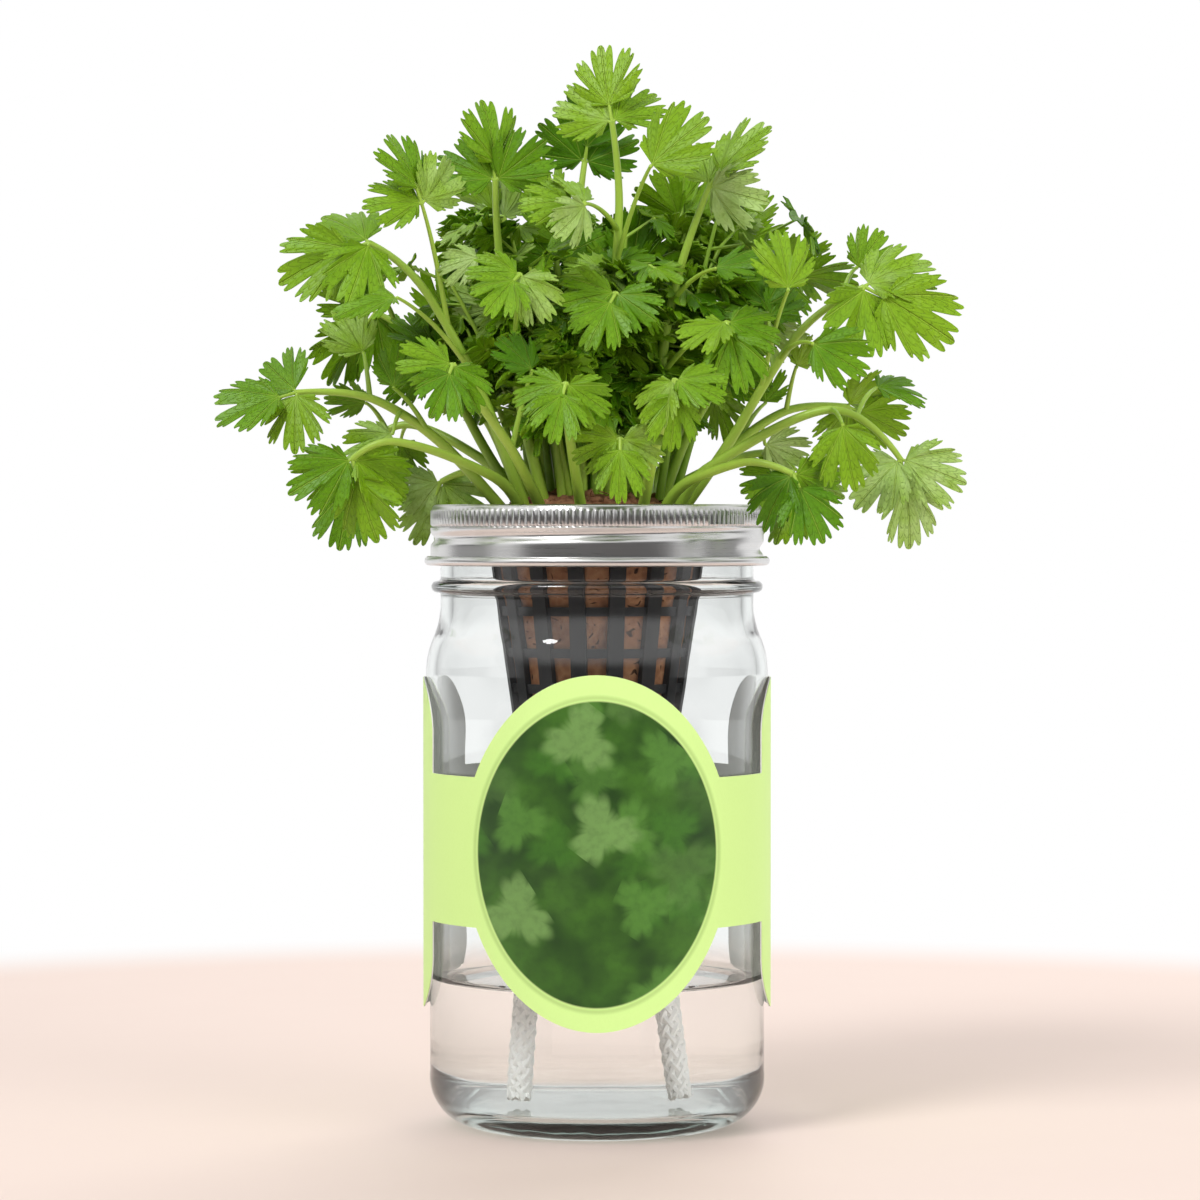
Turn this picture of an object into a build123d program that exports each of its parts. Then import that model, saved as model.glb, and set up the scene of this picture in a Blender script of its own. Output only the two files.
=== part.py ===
"""Hydroponic jar planter: a wide-mouth glass jar of water, a screw band that holds a lid insert,
a net cup of coir with two cotton wicks, a card sleeve round the jar, and the grown herb.

Millimetres. +Z is up, the origin is the centre of the jar's foot, and -Y is the front of the label.
"""

from math import cos, radians, sin, tan
import os

from build123d import *

# Glass jar, whose neck takes the standard lid and sets the other radii
NECK_R = 42.5
NECK_WALL = 3.5
BODY_OUT = 2.9
SHOULDER_OUT = 1.0
HEEL_IN = 11.4
FOOT_W = 5.0
PUSH_UP = 2.2
PUSH_UP_SLOPE = 4.0
HEEL_H = 15.0
BODY_TOP_Z = 108.0
SHOULDER_Z = 123.0
NECK_BASE_Z = 141.5
RIM_Z = 165.4
RIM_ROUND = 1.0
BODY_WALL = 3.0
FLOOR_Z = 7.0
INNER_HEEL_R = 9.0
NECK_BEAD_Z = 146.0
NECK_BEAD_OUT = 2.5
NECK_BEAD_H = 3.2

# Screw thread of the neck and the band: one right-hand start, turn 0 at the front
THREAD_PITCH = 5.08
GLASS_THREAD_R = 1.15
GLASS_THREAD_CENTRE_OUT = 0.5
GLASS_THREAD_TURNS = (-1.0, 0.08)

# Screw band of thin sheet metal
BAND_WALL = 0.45
BAND_CLEAR = 2.7
BAND_H = 16.4
BAND_LIP_W = 5.5
BAND_CORNER_R = 1.2
BAND_CURL_R = 1.25
KNURL_COUNT = 150
KNURL_DEPTH = 0.45
KNURL_H = 4.6
ROLL_R = 1.6
ROLL_CENTRE_OUT = 0.4
ROLL_DROP = 2.2
ROLL_TURNS = (-0.85, 0.2)

# Lid insert: the dished disc that carries the cup, snapped into the band
INSERT_T = 2.0
INSERT_SNAP = 0.25
INSERT_DISH_DEPTH = 4.6
LID_GAP = 0.15
MOUTH_FIT = 0.4

# Net cup
CUP_IN = 8.4
CUP_TAPER = 0.143
CUP_H = 72.0
CUP_RIM_W = 4.6
CUP_RIM_T = 1.6
CUP_FIT = 0.4
COLLAR_H = 10.0
RIB_COUNT = 16
RIB_W = 4.2
RIB_T = 1.8
HOOP_RECESS = 0.5
HOOP_T = 1.1
HOOP_H = 2.4
HOOP_DROPS = (25.3, 36.6, 46.1, 54.8, 63.0)
CUP_FLOOR_T = 1.8
DRAIN_COUNT = 8
DRAIN_R = 1.5
DRAIN_RING_R = 5.0

# Coir plug
PLUG_FIT = 0.3
PLUG_MOUND = 6.5
SOCKET_FIT = 0.3

# Wicks, each a cotton cord that leaves the plug straight down through the cup's floor
WICK_R = 3.0
WICK_FIT = 0.35
WICK_TUCK = 12.0
WICK_ROUTES = {
    "wick_left": ((-11.0, -5.0, 82.5), (-13.0, -7.5, 58.0), (-16.0, -10.5, 32.5), (-17.5, -13.5, 8.4)),
    "wick_right": ((10.5, -4.5, 82.0), (12.0, -7.0, 57.5), (15.5, -9.0, 32.0), (18.5, -12.5, 8.5)),
}
ARC_SHARE = 0.45

# Water
WATER_LEVEL_Z = 40.0
WATER_GAP = 0.15
WATER_SLOT_FIT = 0.6

# Card sleeve: a front oval and a taller panel on each side, joined by a link round the jar
SLEEVE_T = 0.45
SLEEVE_FIT = 0.35
OVAL_CENTRE_Z = 77.0
OVAL_HALF_W = 35.4
OVAL_HALF_H = 46.6
LINK_LOW_Z = 56.6
LINK_HIGH_Z = 96.3
PANEL_LOW_Z = 32.0
PANEL_HIGH_Z = 121.4
PANEL_EDGE_Y = -16.5
PANEL_W = 41.5
PANEL_CORNER_R = 15.0
FLAP_W = 14.0

# Herb: leaf blades are scalloped fans; lobes give a bearing from the leaf's axis and a share of its length
STEM_R = 1.35
PETIOLE_R = 0.6
BLADE_T = 0.5
LOBES = ((-86, 0.60), (-44, 0.88), (0, 1.0), (44, 0.88), (86, 0.60))
NOTCH_SHARE = 0.80
HEART_SHARE = 0.42
HEART_R = 2.4
LATERAL_BEARING = 66
LATERAL_SHARE = 0.80
STEM_ROOT_Z = 160.0
HERB_CUP_R = 30.6
BLADE_FACING = (0.0, -0.85, 0.53)
BACK_TURN = 180.0
BACK_SPREAD = 0.86
BACK_HEIGHT = 0.93
DEPTH_FAN = 0.6
FAN_LOW_Z = 168.0
FAN_RISE = 27.0

# Each stem: the points of its route above the root, and its leaves. A leaf gives the share of the route
# where its stalk starts, the heart and tip of its middle blade, and its number of blades. The points are
# those of a herb in a cup whose top radius is HERB_CUP_R, and spread with the cup.
STEMS = {
    "tall_centre": (
        ((3, -6), (4, -8, 197), (5, -9, 232), (6.5, -10, 254), (4, -11, 270)),
        (
            (1.0, (4, -11, 270), (0, -13, 291), 3),
            (0.66, (14, -19, 257), (28, -23, 271), 1),
            (0.74, (-3, -22, 247), (-18, -29, 251), 3),
            (0.42, (5, -18, 224), (0, -31, 211), 3),
            (0.15, (6, -41, 185), (6, -50, 171), 3),
        ),
    ),
    "left_upright": (
        ((-12, -6), (-20, -9, 190), (-23.5, -10, 215), (-27, -12, 240), (-27, -15, 254)),
        (
            (1.0, (-27, -15, 254), (-29, -18, 275), 3),
            (0.70, (-31, -20, 233), (-42, -23, 230), 1),
            (0.50, (-20, -27, 228), (-29, -38, 216), 3),
        ),
    ),
    "left_upper": (
        ((-17, -9), (-27, -13, 190), (-38, -16, 213), (-50, -18, 232), (-60, -20, 237)),
        (
            (1.0, (-60, -20, 237), (-84, -24, 232), 3),
            (0.66, (-46, -22, 247), (-55, -25, 264), 3),
            (0.52, (-52, -25, 222), (-68, -29, 214), 1),
        ),
    ),
    "left_arching": (
        ((-20, -4), (-36, -6, 180), (-52, -8, 193), (-66, -10, 199), (-80, -12, 198)),
        (
            (1.0, (-80, -12, 198), (-101, -16, 191), 3),
            (0.74, (-63, -3, 209), (-71, -1, 221), 1),
            (0.50, (-54, -14, 199), (-55, -16, 211), 1),
            (0.62, (-54, -19, 187), (-67, -24, 181), 1),
        ),
    ),
    "left_low": (
        ((-18, -15), (-21, -17, 172), (-34, -23, 179), (-48, -28, 184), (-58, -30, 185), (-64, -31, 180)),
        ((1.0, (-64, -31, 180), (-63, -36, 157), 3),),
    ),
    "right_upright": (
        ((10, -5), (16, -8, 195), (19, -9, 220), (25, -11, 241), (30, -12, 253)),
        (
            (1.0, (30, -12, 253), (46, -15, 267), 3),
            (0.66, (31, -21, 230), (44, -24, 233), 1),
            (0.45, (34, -22, 216), (38, -35, 201), 3),
        ),
    ),
    "right_arching": (
        ((18, -7), (33, -10, 180), (46, -12, 203), (58, -13, 220), (71, -14, 226)),
        (
            (1.0, (71, -14, 226), (93, -18, 211), 3),
            (0.55, (50, -24, 224), (48, -27, 241), 1),
            (0.92, (70, -3, 232), (77, -1, 244), 1),
            (0.66, (56, -27, 210), (69, -33, 202), 1),
            (0.62, (46, -8, 218), (42, -9, 234), 3),
        ),
    ),
    "right_low": (
        (
            (20, -12.5), (22.5, -14, 173), (36, -18, 182), (52, -21, 191),
            (64, -22, 194), (75, -24, 187), (80, -25, 180),
        ),
        (
            (1.0, (80, -25, 180), (86, -28, 157), 3),
            (0.72, (64, -30, 189), (68, -35, 173), 1),
            (0.80, (74, -14, 199), (88, -14, 202), 1),
        ),
    ),
    "right_lowest": (
        ((16, -15), (18.5, -18.5, 172), (33, -26, 178), (43, -34, 180), (51, -38, 176)),
        ((1.0, (51, -38, 176), (56, -43, 157), 3),),
    ),
    "front_left": (
        ((-12, -15), (-19, -26, 178), (-31, -33, 195), (-37, -36, 204)),
        (
            (1.0, (-37, -36, 204), (-44, -45, 190), 3),
            (0.50, (-17, -24, 203), (-22, -26, 214), 1),
        ),
    ),
    "front_centre": (
        ((-3, -20), (-6, -29, 178), (-8, -35, 192), (-8, -38, 199)),
        ((1.0, (-8, -38, 199), (-11, -48, 185), 3),),
    ),
    "front_right": (
        ((11, -18), (14, -27, 178), (18, -34, 192), (20, -37, 200)),
        ((1.0, (20, -37, 200), (22, -47, 185), 3),),
    ),
    "inner_near": (
        ((-5, 0), (-6, -0.5, 190), (-8, -1, 214), (-11, -2, 234)),
        (
            (1.0, (-11, -2, 234), (-12, -5, 255), 3),
            (0.55, (-9, -8, 212), (-13, -11, 200), 1),
        ),
    ),
    "inner_mid": (
        ((-11, -0.5), (-15, -0.5, 186), (-20, -1, 205), (-25, -1, 222)),
        (
            (1.0, (-25, -1, 222), (-31, -2, 240), 3),
            (0.60, (-24, 4, 206), (-33, 5, 203), 1),
        ),
    ),
    "inner_far": (
        ((-17, 1), (-25, 1, 183), (-34, 0.5, 198), (-41, 0, 208)),
        ((1.0, (-41, 0, 208), (-54, -1, 221), 3),),
    ),
}

CUT = 200.0

mouth_r = NECK_R - NECK_WALL
body_r = NECK_R + BODY_OUT
shoulder_r = body_r + SHOULDER_OUT
foot_outer_r = body_r - HEEL_IN
foot_inner_r = foot_outer_r - FOOT_W
band_outer_r = NECK_R + BAND_CLEAR
cup_top_r = mouth_r - CUP_IN
insert_bottom_z = RIM_Z + LID_GAP
insert_top_z = insert_bottom_z + INSERT_T
band_top_z = insert_top_z + LID_GAP + BAND_WALL
band_bottom_z = band_top_z - BAND_H
knurl_top_z = band_top_z - BAND_CORNER_R
knurl_low_z = knurl_top_z - KNURL_H
roll_front_z = knurl_low_z - ROLL_DROP
roll_centre_r = band_outer_r + ROLL_CENTRE_OUT
ridge_inner_r = roll_centre_r - ROLL_R - BAND_WALL
glass_thread_front_z = roll_front_z + THREAD_PITCH / 2
glass_thread_centre_r = NECK_R + GLASS_THREAD_CENTRE_OUT
insert_r = ridge_inner_r + INSERT_SNAP
dish_outer_r = mouth_r - MOUTH_FIT
cup_seat_z = insert_top_z - INSERT_DISH_DEPTH + INSERT_T
cup_floor_z = cup_seat_z - CUP_H
plug_low_z = cup_floor_z + CUP_FLOOR_T + LID_GAP
inner_r = body_r - BODY_WALL
sleeve_inner_r = shoulder_r + SLEEVE_FIT
sleeve_outer_r = sleeve_inner_r + SLEEVE_T


def edges_of(*curves):
    """The edges of several lines and curves, as one list."""
    return [edge for curve in curves for edge in curve.edges()]


def turned(*curves):
    """A solid of revolution about Z; the curves close an outline whose points are (radius, height)."""
    return revolve(Plane.XZ * make_face(edges_of(*curves)), axis=Axis.Z)


def ring(inner, outer, low, high):
    """A plain ring about Z."""
    return turned(Polyline((inner, low), (outer, low), (outer, high), (inner, high), close=True))


def s_curve(start, end):
    """Two equal arcs from start to end, upright at both ends."""
    middle = ((start[0] + end[0]) / 2, (start[1] + end[1]) / 2)
    heading = (0, 1) if end[1] > start[1] else (0, -1)
    leaving = (0, -heading[1])
    return Curve() + TangentArc(start, middle, tangent=heading) + TangentArc(end, middle, tangent=leaving)


def helix_rod(front_z, centre_r, rod_r, turns):
    """A round rod along the thread's helix, which rises towards +X at the front."""
    first, last = turns
    path = Helix(pitch=THREAD_PITCH, height=(last - first) * THREAD_PITCH, radius=centre_r)
    start = Plane(path @ 0, x_dir=(1, 0, 0), z_dir=path % 0)
    rod = sweep(start * Circle(rod_r), path=path, is_frenet=True)
    return Pos(0, 0, front_z + first * THREAD_PITCH) * Rot(0, 0, first * 360 - 90) * rod


def make_jar():
    """The glass jar: foot, heel, body, shoulder, neck bead, thread and rim, with its inside."""
    bead_r = NECK_BEAD_H / 2
    bead_centre_r = NECK_R + NECK_BEAD_OUT - bead_r
    bead_low, bead_high = NECK_BEAD_Z - bead_r, NECK_BEAD_Z + bead_r
    outside = (
        Polyline(
            (0, FLOOR_Z), (0, PUSH_UP), (foot_inner_r - PUSH_UP_SLOPE, PUSH_UP),
            (foot_inner_r, 0), (foot_outer_r, 0),
        ),
        TangentArc((body_r, HEEL_H), (foot_outer_r, 0), tangent=(0, -1)),
        Line((body_r, HEEL_H), (body_r, BODY_TOP_Z)),
        s_curve((body_r, BODY_TOP_Z), (shoulder_r, SHOULDER_Z)),
        s_curve((shoulder_r, SHOULDER_Z), (NECK_R, NECK_BASE_Z)),
        Polyline((NECK_R, NECK_BASE_Z), (NECK_R, bead_low), (bead_centre_r, bead_low)),
        ThreePointArc(
            (bead_centre_r, bead_low), (bead_centre_r + bead_r, NECK_BEAD_Z), (bead_centre_r, bead_high)
        ),
        Polyline((bead_centre_r, bead_high), (NECK_R, bead_high), (NECK_R, RIM_Z - RIM_ROUND)),
        TangentArc((NECK_R, RIM_Z - RIM_ROUND), (NECK_R - RIM_ROUND, RIM_Z), tangent=(0, 1)),
        Line((NECK_R - RIM_ROUND, RIM_Z), (mouth_r + RIM_ROUND, RIM_Z)),
    )
    inside = (
        TangentArc((mouth_r, RIM_Z - RIM_ROUND), (mouth_r + RIM_ROUND, RIM_Z), tangent=(0, 1)),
        Line((mouth_r, RIM_Z - RIM_ROUND), (mouth_r, NECK_BASE_Z)),
        s_curve((mouth_r, NECK_BASE_Z), (shoulder_r - BODY_WALL, SHOULDER_Z)),
        s_curve((shoulder_r - BODY_WALL, SHOULDER_Z), (inner_r, BODY_TOP_Z)),
        Line((inner_r, BODY_TOP_Z), (inner_r, FLOOR_Z + INNER_HEEL_R)),
        TangentArc((inner_r, FLOOR_Z + INNER_HEEL_R), (inner_r - INNER_HEEL_R, FLOOR_Z), tangent=(0, -1)),
        Line((inner_r - INNER_HEEL_R, FLOOR_Z), (0, FLOOR_Z)),
    )
    bead = helix_rod(glass_thread_front_z, glass_thread_centre_r, GLASS_THREAD_R, GLASS_THREAD_TURNS)
    return turned(*outside, *inside) + bead


def make_band():
    """The screw band: a lip, a knurled top, a skirt with its rolled thread, and a curled edge."""
    valley_r = band_outer_r - KNURL_DEPTH
    lip_inner_r = band_outer_r - BAND_CORNER_R - BAND_LIP_W
    inner_corner_r = BAND_CORNER_R - BAND_WALL
    skirt_low = band_bottom_z + BAND_CURL_R
    step = knurl_low_z - KNURL_DEPTH
    wall = turned(
        Polyline((lip_inner_r, band_top_z - BAND_WALL), (lip_inner_r, band_top_z)),
        Line((lip_inner_r, band_top_z), (valley_r - BAND_CORNER_R, band_top_z)),
        TangentArc((valley_r, knurl_top_z), (valley_r - BAND_CORNER_R, band_top_z), tangent=(0, 1)),
        Polyline(
            (valley_r, knurl_top_z), (valley_r, knurl_low_z), (band_outer_r, step),
            (band_outer_r, skirt_low), (band_outer_r - BAND_WALL, skirt_low),
            (band_outer_r - BAND_WALL, step), (valley_r - BAND_WALL, knurl_low_z),
            (valley_r - BAND_WALL, knurl_top_z),
        ),
        TangentArc(
            (valley_r - BAND_WALL, knurl_top_z),
            (valley_r - BAND_CORNER_R, knurl_top_z + inner_corner_r),
            tangent=(0, 1),
        ),
        Line((valley_r - BAND_CORNER_R, band_top_z - BAND_WALL), (lip_inner_r, band_top_z - BAND_WALL)),
    )
    curl_r = band_outer_r - BAND_WALL / 2 + BAND_CURL_R / 2
    curl = Pos(0, 0, skirt_low) * Torus(curl_r, BAND_CURL_R)
    inside = Pos(0, 0, band_bottom_z) * Cylinder(
        band_outer_r - BAND_WALL / 2, BAND_H, align=(Align.CENTER, Align.CENTER, Align.MIN)
    )
    ridge = helix_rod(roll_front_z, roll_centre_r, ROLL_R + BAND_WALL, ROLL_TURNS) & inside
    groove = helix_rod(roll_front_z, roll_centre_r, ROLL_R, ROLL_TURNS)
    return wall + curl + make_knurl(valley_r) + ridge - groove


def make_knurl(valley_r):
    """The ring of upright flutes round the top of the band."""
    step = 360 / KNURL_COUNT

    def at(radius, turn):
        return (radius * cos(radians(turn)), radius * sin(radians(turn)))

    flutes = [
        ThreePointArc(
            at(valley_r, k * step), at(band_outer_r, (k + 0.5) * step), at(valley_r, (k + 1) * step)
        )
        for k in range(KNURL_COUNT)
    ]
    face = make_face(edges_of(*flutes)) - Circle(valley_r - BAND_WALL / 2)
    return Pos(0, 0, knurl_low_z) * extrude(face, amount=KNURL_H)


def make_insert():
    """The lid insert: a flange on the jar's rim, and a dish with the hole that the cup hangs in."""
    hole_r = cup_top_r + CUP_FIT
    dish_inner_r = dish_outer_r - INSERT_T
    dish_low_z = cup_seat_z - INSERT_T
    return turned(
        Polyline(
            (hole_r, dish_low_z), (dish_outer_r, dish_low_z), (dish_outer_r, insert_bottom_z),
            (insert_r, insert_bottom_z), (insert_r, insert_top_z), (dish_inner_r, insert_top_z),
            (dish_inner_r, cup_seat_z), (hole_r, cup_seat_z), close=True,
        )
    )


def cup_r(drop):
    """Outer radius of the cup's ribs at a drop below the seat of its rim."""
    return cup_top_r - CUP_TAPER * drop


def cup_hoop(high_drop, low_drop):
    """A hoop of the cup between two drops, set in behind the ribs."""
    high_r, low_r = cup_r(high_drop) - HOOP_RECESS, cup_r(low_drop) - HOOP_RECESS
    high_z, low_z = cup_seat_z - high_drop, cup_seat_z - low_drop
    return turned(
        Polyline(
            (low_r - HOOP_T, low_z), (low_r, low_z), (high_r, high_z), (high_r - HOOP_T, high_z), close=True
        )
    )


def make_cup():
    """The net cup: rim, collar, upright ribs, hoops, and a floor with wick holes and drains."""
    cup = ring(cup_top_r - RIB_T, cup_top_r + CUP_RIM_W, cup_seat_z, cup_seat_z + CUP_RIM_T)
    cup += cup_hoop(0, COLLAR_H)
    for drop in HOOP_DROPS:
        cup += cup_hoop(drop - HOOP_H / 2, drop + HOOP_H / 2)
    side = make_face(
        edges_of(
            Polyline(
                (cup_r(0) - RIB_T, cup_seat_z), (cup_r(0), cup_seat_z),
                (cup_r(CUP_H), cup_floor_z), (cup_r(CUP_H) - RIB_T, cup_floor_z), close=True,
            )
        )
    )
    rib = extrude(Plane.XZ * side, amount=RIB_W / 2, both=True)
    step = 360 / RIB_COUNT
    for k in range(RIB_COUNT):
        cup += Rot(0, 0, -90 + (k + 0.5) * step) * rib
    floor = Pos(0, 0, cup_floor_z) * Cylinder(
        cup_r(CUP_H) - HOOP_RECESS, CUP_FLOOR_T, align=(Align.CENTER, Align.CENTER, Align.MIN)
    )
    for route in WICK_ROUTES.values():
        floor -= Pos(route[0][0], route[0][1], cup_floor_z) * Cylinder(WICK_R + WICK_FIT, CUT)
    for k in range(DRAIN_COUNT):
        floor -= Rot(0, 0, k * 360 / DRAIN_COUNT) * Pos(DRAIN_RING_R, 0, cup_floor_z) * Cylinder(DRAIN_R, CUT)
    return cup + floor


def wick_points(route):
    """The wick's route from its tucked end in the plug to its free end on the jar's floor."""
    x, y, _ = route[0]
    return [(x, y, plug_low_z + WICK_TUCK), *route]


def eased_path(points):
    """Straight runs through the points, joined by arcs as large as the runs allow, and the arcs' radii."""
    spots = [Vector(*p) for p in points]
    radii = []
    for before, here, after in zip(spots, spots[1:], spots[2:]):
        turn = (here - before).get_angle(after - here)
        shorter = min((here - before).length, (after - here).length)
        radii.append(ARC_SHARE * shorter / tan(radians(turn / 2)))
    return FilletPolyline(*points, radius=radii), radii


def tube(points, radius):
    """A round tube along the points, and the least radius of its bends."""
    path, radii = eased_path(points)
    start = Plane(path @ 0, z_dir=path % 0)
    return sweep(start * Circle(radius), path=path), path, min(radii)


def make_plug(stem_roots):
    """The coir plug: a taper that fills the cup, with a mound on top, wick sockets and stem sockets."""
    top_r = cup_r(0) - RIB_T - PLUG_FIT
    low_r = cup_r(cup_seat_z - plug_low_z) - RIB_T - PLUG_FIT
    plug = turned(
        Polyline((0, cup_seat_z + PLUG_MOUND), (0, plug_low_z), (low_r, plug_low_z), (top_r, cup_seat_z)),
        TangentArc((0, cup_seat_z + PLUG_MOUND), (top_r, cup_seat_z), tangent=(1, 0)),
    )
    for route in WICK_ROUTES.values():
        socket = Cylinder(WICK_R + WICK_FIT, WICK_TUCK + WICK_FIT, align=(Align.CENTER, Align.CENTER, Align.MIN))
        plug -= Pos(route[0][0], route[0][1], plug_low_z) * socket
    for root, above in stem_roots:
        heading = Vector(*above) - Vector(*root)
        low = Vector(*root) - heading.normalized() * SOCKET_FIT
        socket = Cylinder(
            STEM_R + SOCKET_FIT, heading.length, align=(Align.CENTER, Align.CENTER, Align.MIN)
        )
        plug -= Plane(low, z_dir=heading) * socket
    return plug


def make_water():
    """The water, with an upright slot for each wick to be drawn out through."""
    water_r = inner_r - WATER_GAP
    low_z = FLOOR_Z + WATER_GAP
    corner_r = INNER_HEEL_R
    water = turned(
        Polyline((water_r - corner_r, low_z), (0, low_z), (0, WATER_LEVEL_Z), (water_r, WATER_LEVEL_Z)),
        Line((water_r, WATER_LEVEL_Z), (water_r, low_z + corner_r)),
        TangentArc((water_r, low_z + corner_r), (water_r - corner_r, low_z), tangent=(0, -1)),
    )
    slot_r = WICK_R + WATER_SLOT_FIT
    for route in WICK_ROUTES.values():
        above, below, end = (Vector(*p) for p in route[-3:])
        share = (above.Z - WATER_LEVEL_Z) / (above.Z - below.Z)
        entry = above + (below - above) * share
        across = Vector(end.X - entry.X, end.Y - entry.Y, 0)
        slot = Plane((entry.X, entry.Y, 0), x_dir=across, z_dir=(0, 0, 1)) * (
            Pos(across.length / 2, 0) * SlotCenterToCenter(across.length, 2 * slot_r)
        )
        water -= extrude(slot, amount=CUT)
    return water


def make_sleeve():
    """The card sleeve: front oval, link and side panels of one wrap, glued under a flap at the back."""
    wrap = ring(sleeve_inner_r, sleeve_outer_r, 0, CUT)
    oval = Plane.XZ * Pos(0, OVAL_CENTRE_Z) * Ellipse(OVAL_HALF_W, OVAL_HALF_H)
    link_h = LINK_HIGH_Z - LINK_LOW_Z
    link = Pos(0, 0, LINK_LOW_Z) * Box(CUT, CUT, link_h, align=(Align.CENTER, Align.CENTER, Align.MIN))
    panel_h = PANEL_HIGH_Z - PANEL_LOW_Z
    panel_outline = Plane.YZ * (
        Pos(PANEL_EDGE_Y + PANEL_W / 2, (PANEL_LOW_Z + PANEL_HIGH_Z) / 2)
        * RectangleRounded(PANEL_W, panel_h, PANEL_CORNER_R)
    )
    panels = extrude(panel_outline, amount=CUT, both=True)
    flap_wrap = ring(sleeve_outer_r - SLEEVE_T / 2, sleeve_outer_r + SLEEVE_T, LINK_LOW_Z, LINK_HIGH_Z)
    flap = flap_wrap & Pos(0, CUT / 2, 0) * Box(FLAP_W, CUT, 2 * CUT)
    return (wrap & (extrude(oval, amount=CUT) + link + panels)) + flap


def blade_outline(length):
    """One leaf blade: a fan of rounded lobes from its heart at the origin, along +X."""

    def at(bearing, share):
        return (length * share * cos(radians(bearing)), length * share * sin(radians(bearing)))

    bearings = [bearing for bearing, _ in LOBES]
    shares = [share for _, share in LOBES]
    half_gap = (bearings[1] - bearings[0]) / 2
    notches = [at(bearings[0] - half_gap, HEART_SHARE)]
    for k in range(len(LOBES) - 1):
        notches.append(at((bearings[k] + bearings[k + 1]) / 2, NOTCH_SHARE * (shares[k] + shares[k + 1]) / 2))
    notches.append(at(bearings[-1] + half_gap, HEART_SHARE))
    arcs = [
        ThreePointArc(notches[k], at(bearing, share), notches[k + 1])
        for k, (bearing, share) in enumerate(LOBES)
    ]
    return make_face(edges_of(Line((0, 0), notches[0]), *arcs, Line(notches[-1], (0, 0))))


def leaf_plate(heart, tip, blades, facing):
    """A flat leaf of one blade, or of a middle blade and two laterals, turned to face one way."""
    axis = Vector(*tip) - Vector(*heart)
    outline = blade_outline(axis.length)
    if blades == 3:
        for side in (-1, 1):
            outline += Rot(0, 0, side * LATERAL_BEARING) * blade_outline(axis.length * LATERAL_SHARE)
    outline += Circle(HEART_R)
    facing = Vector(*facing)
    normal = facing - axis * (facing.dot(axis) / axis.dot(axis))
    return Plane(heart, x_dir=axis, z_dir=normal) * extrude(outline, amount=BLADE_T / 2, both=True)


def make_stem(route, leaves, facing):
    """A stem with its leaf stalks and leaves, as one grown piece."""
    stem, path, _ = tube(route, STEM_R)
    for share, heart, tip, blades in leaves:
        leaf = leaf_plate(heart, tip, blades, facing)
        start = path @ share
        stalk = Vector(*heart) - start
        if stalk.length > PETIOLE_R:
            reach = stalk.length + 2 * PETIOLE_R
            leaf += Plane(start, z_dir=stalk) * Cylinder(
                PETIOLE_R, reach, align=(Align.CENTER, Align.CENTER, Align.MIN)
            )
        stem += leaf
    return stem


def fanned(point):
    """A point of the herb moved away from the middle plane, more so higher up."""
    x, y, z = point
    rise = min(max((z - FAN_LOW_Z) / FAN_RISE, 0), 1)
    return Vector(x, y * (1 + DEPTH_FAN * rise), z)


def carried(point, turn, spread, height):
    """A point of the herb turned about the jar's axis, drawn in and shortened above its root."""
    c, s = cos(radians(turn)) * spread, sin(radians(turn)) * spread
    rise = (point.Z - STEM_ROOT_Z) * height
    return (point.X * c - point.Y * s, point.X * s + point.Y * c, STEM_ROOT_Z + rise)


def herb_stems():
    """Every stem's name, route, leaves and facing: the front ones, and the back ones turned from them."""
    planted = cup_top_r / HERB_CUP_R
    sides = (("stem_", 0, planted, 1), ("back_stem_", BACK_TURN, BACK_SPREAD * planted, BACK_HEIGHT))
    for prefix, turn, spread, height in sides:
        facing = Vector(*BLADE_FACING).rotate(Axis.Z, turn)
        for name, ((foot, *above), leaves) in STEMS.items():
            route = [carried(fanned(p), turn, spread, height) for p in ((*foot, STEM_ROOT_Z), *above)]
            placed = []
            for share, heart, tip, blades in leaves:
                new_heart = fanned(heart)
                new_tip = new_heart + Vector(*tip) - Vector(*heart)
                ends = [carried(p, turn, spread, height) for p in (new_heart, new_tip)]
                placed.append((share, *ends, blades))
            yield prefix + name, route, placed, facing


def main():
    """Builds every piece and writes one STEP file for each."""
    os.makedirs("parts", exist_ok=True)
    stems = list(herb_stems())
    pieces = {
        "glass_jar": make_jar(),
        "water_fill": make_water(),
        "label_sleeve": make_sleeve(),
        "screw_band": make_band(),
        "lid_insert": make_insert(),
        "net_cup": make_cup(),
        "coir_plug": make_plug([(route[0], route[1]) for _, route, _, _ in stems]),
    }
    for name, route in WICK_ROUTES.items():
        wick, path, tightest = tube(wick_points(route), WICK_R)
        print(name, "length", round(path.length, 1), "least bend radius", round(tightest, 1))
        pieces[name] = wick
    for name, route, leaves, facing in stems:
        pieces[name] = make_stem(route, leaves, facing)
    for name, piece in pieces.items():
        export_step(piece, f"parts/{name}.step")


main()
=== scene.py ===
"""Looks of the hydroponic jar planter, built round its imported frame.

Metres, +Z up, -Y towards the front of the sleeve's oval. The herb's tables are in millimetres.
"""

from __future__ import annotations

import logging
import random
from collections.abc import Iterable, Iterator, Sequence
from dataclasses import dataclass, field
from enum import Enum
from math import atan2, cos, degrees, exp, pi, radians, sin, sqrt

import bmesh
import bpy
from mathutils import Matrix, Vector, noise


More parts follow.
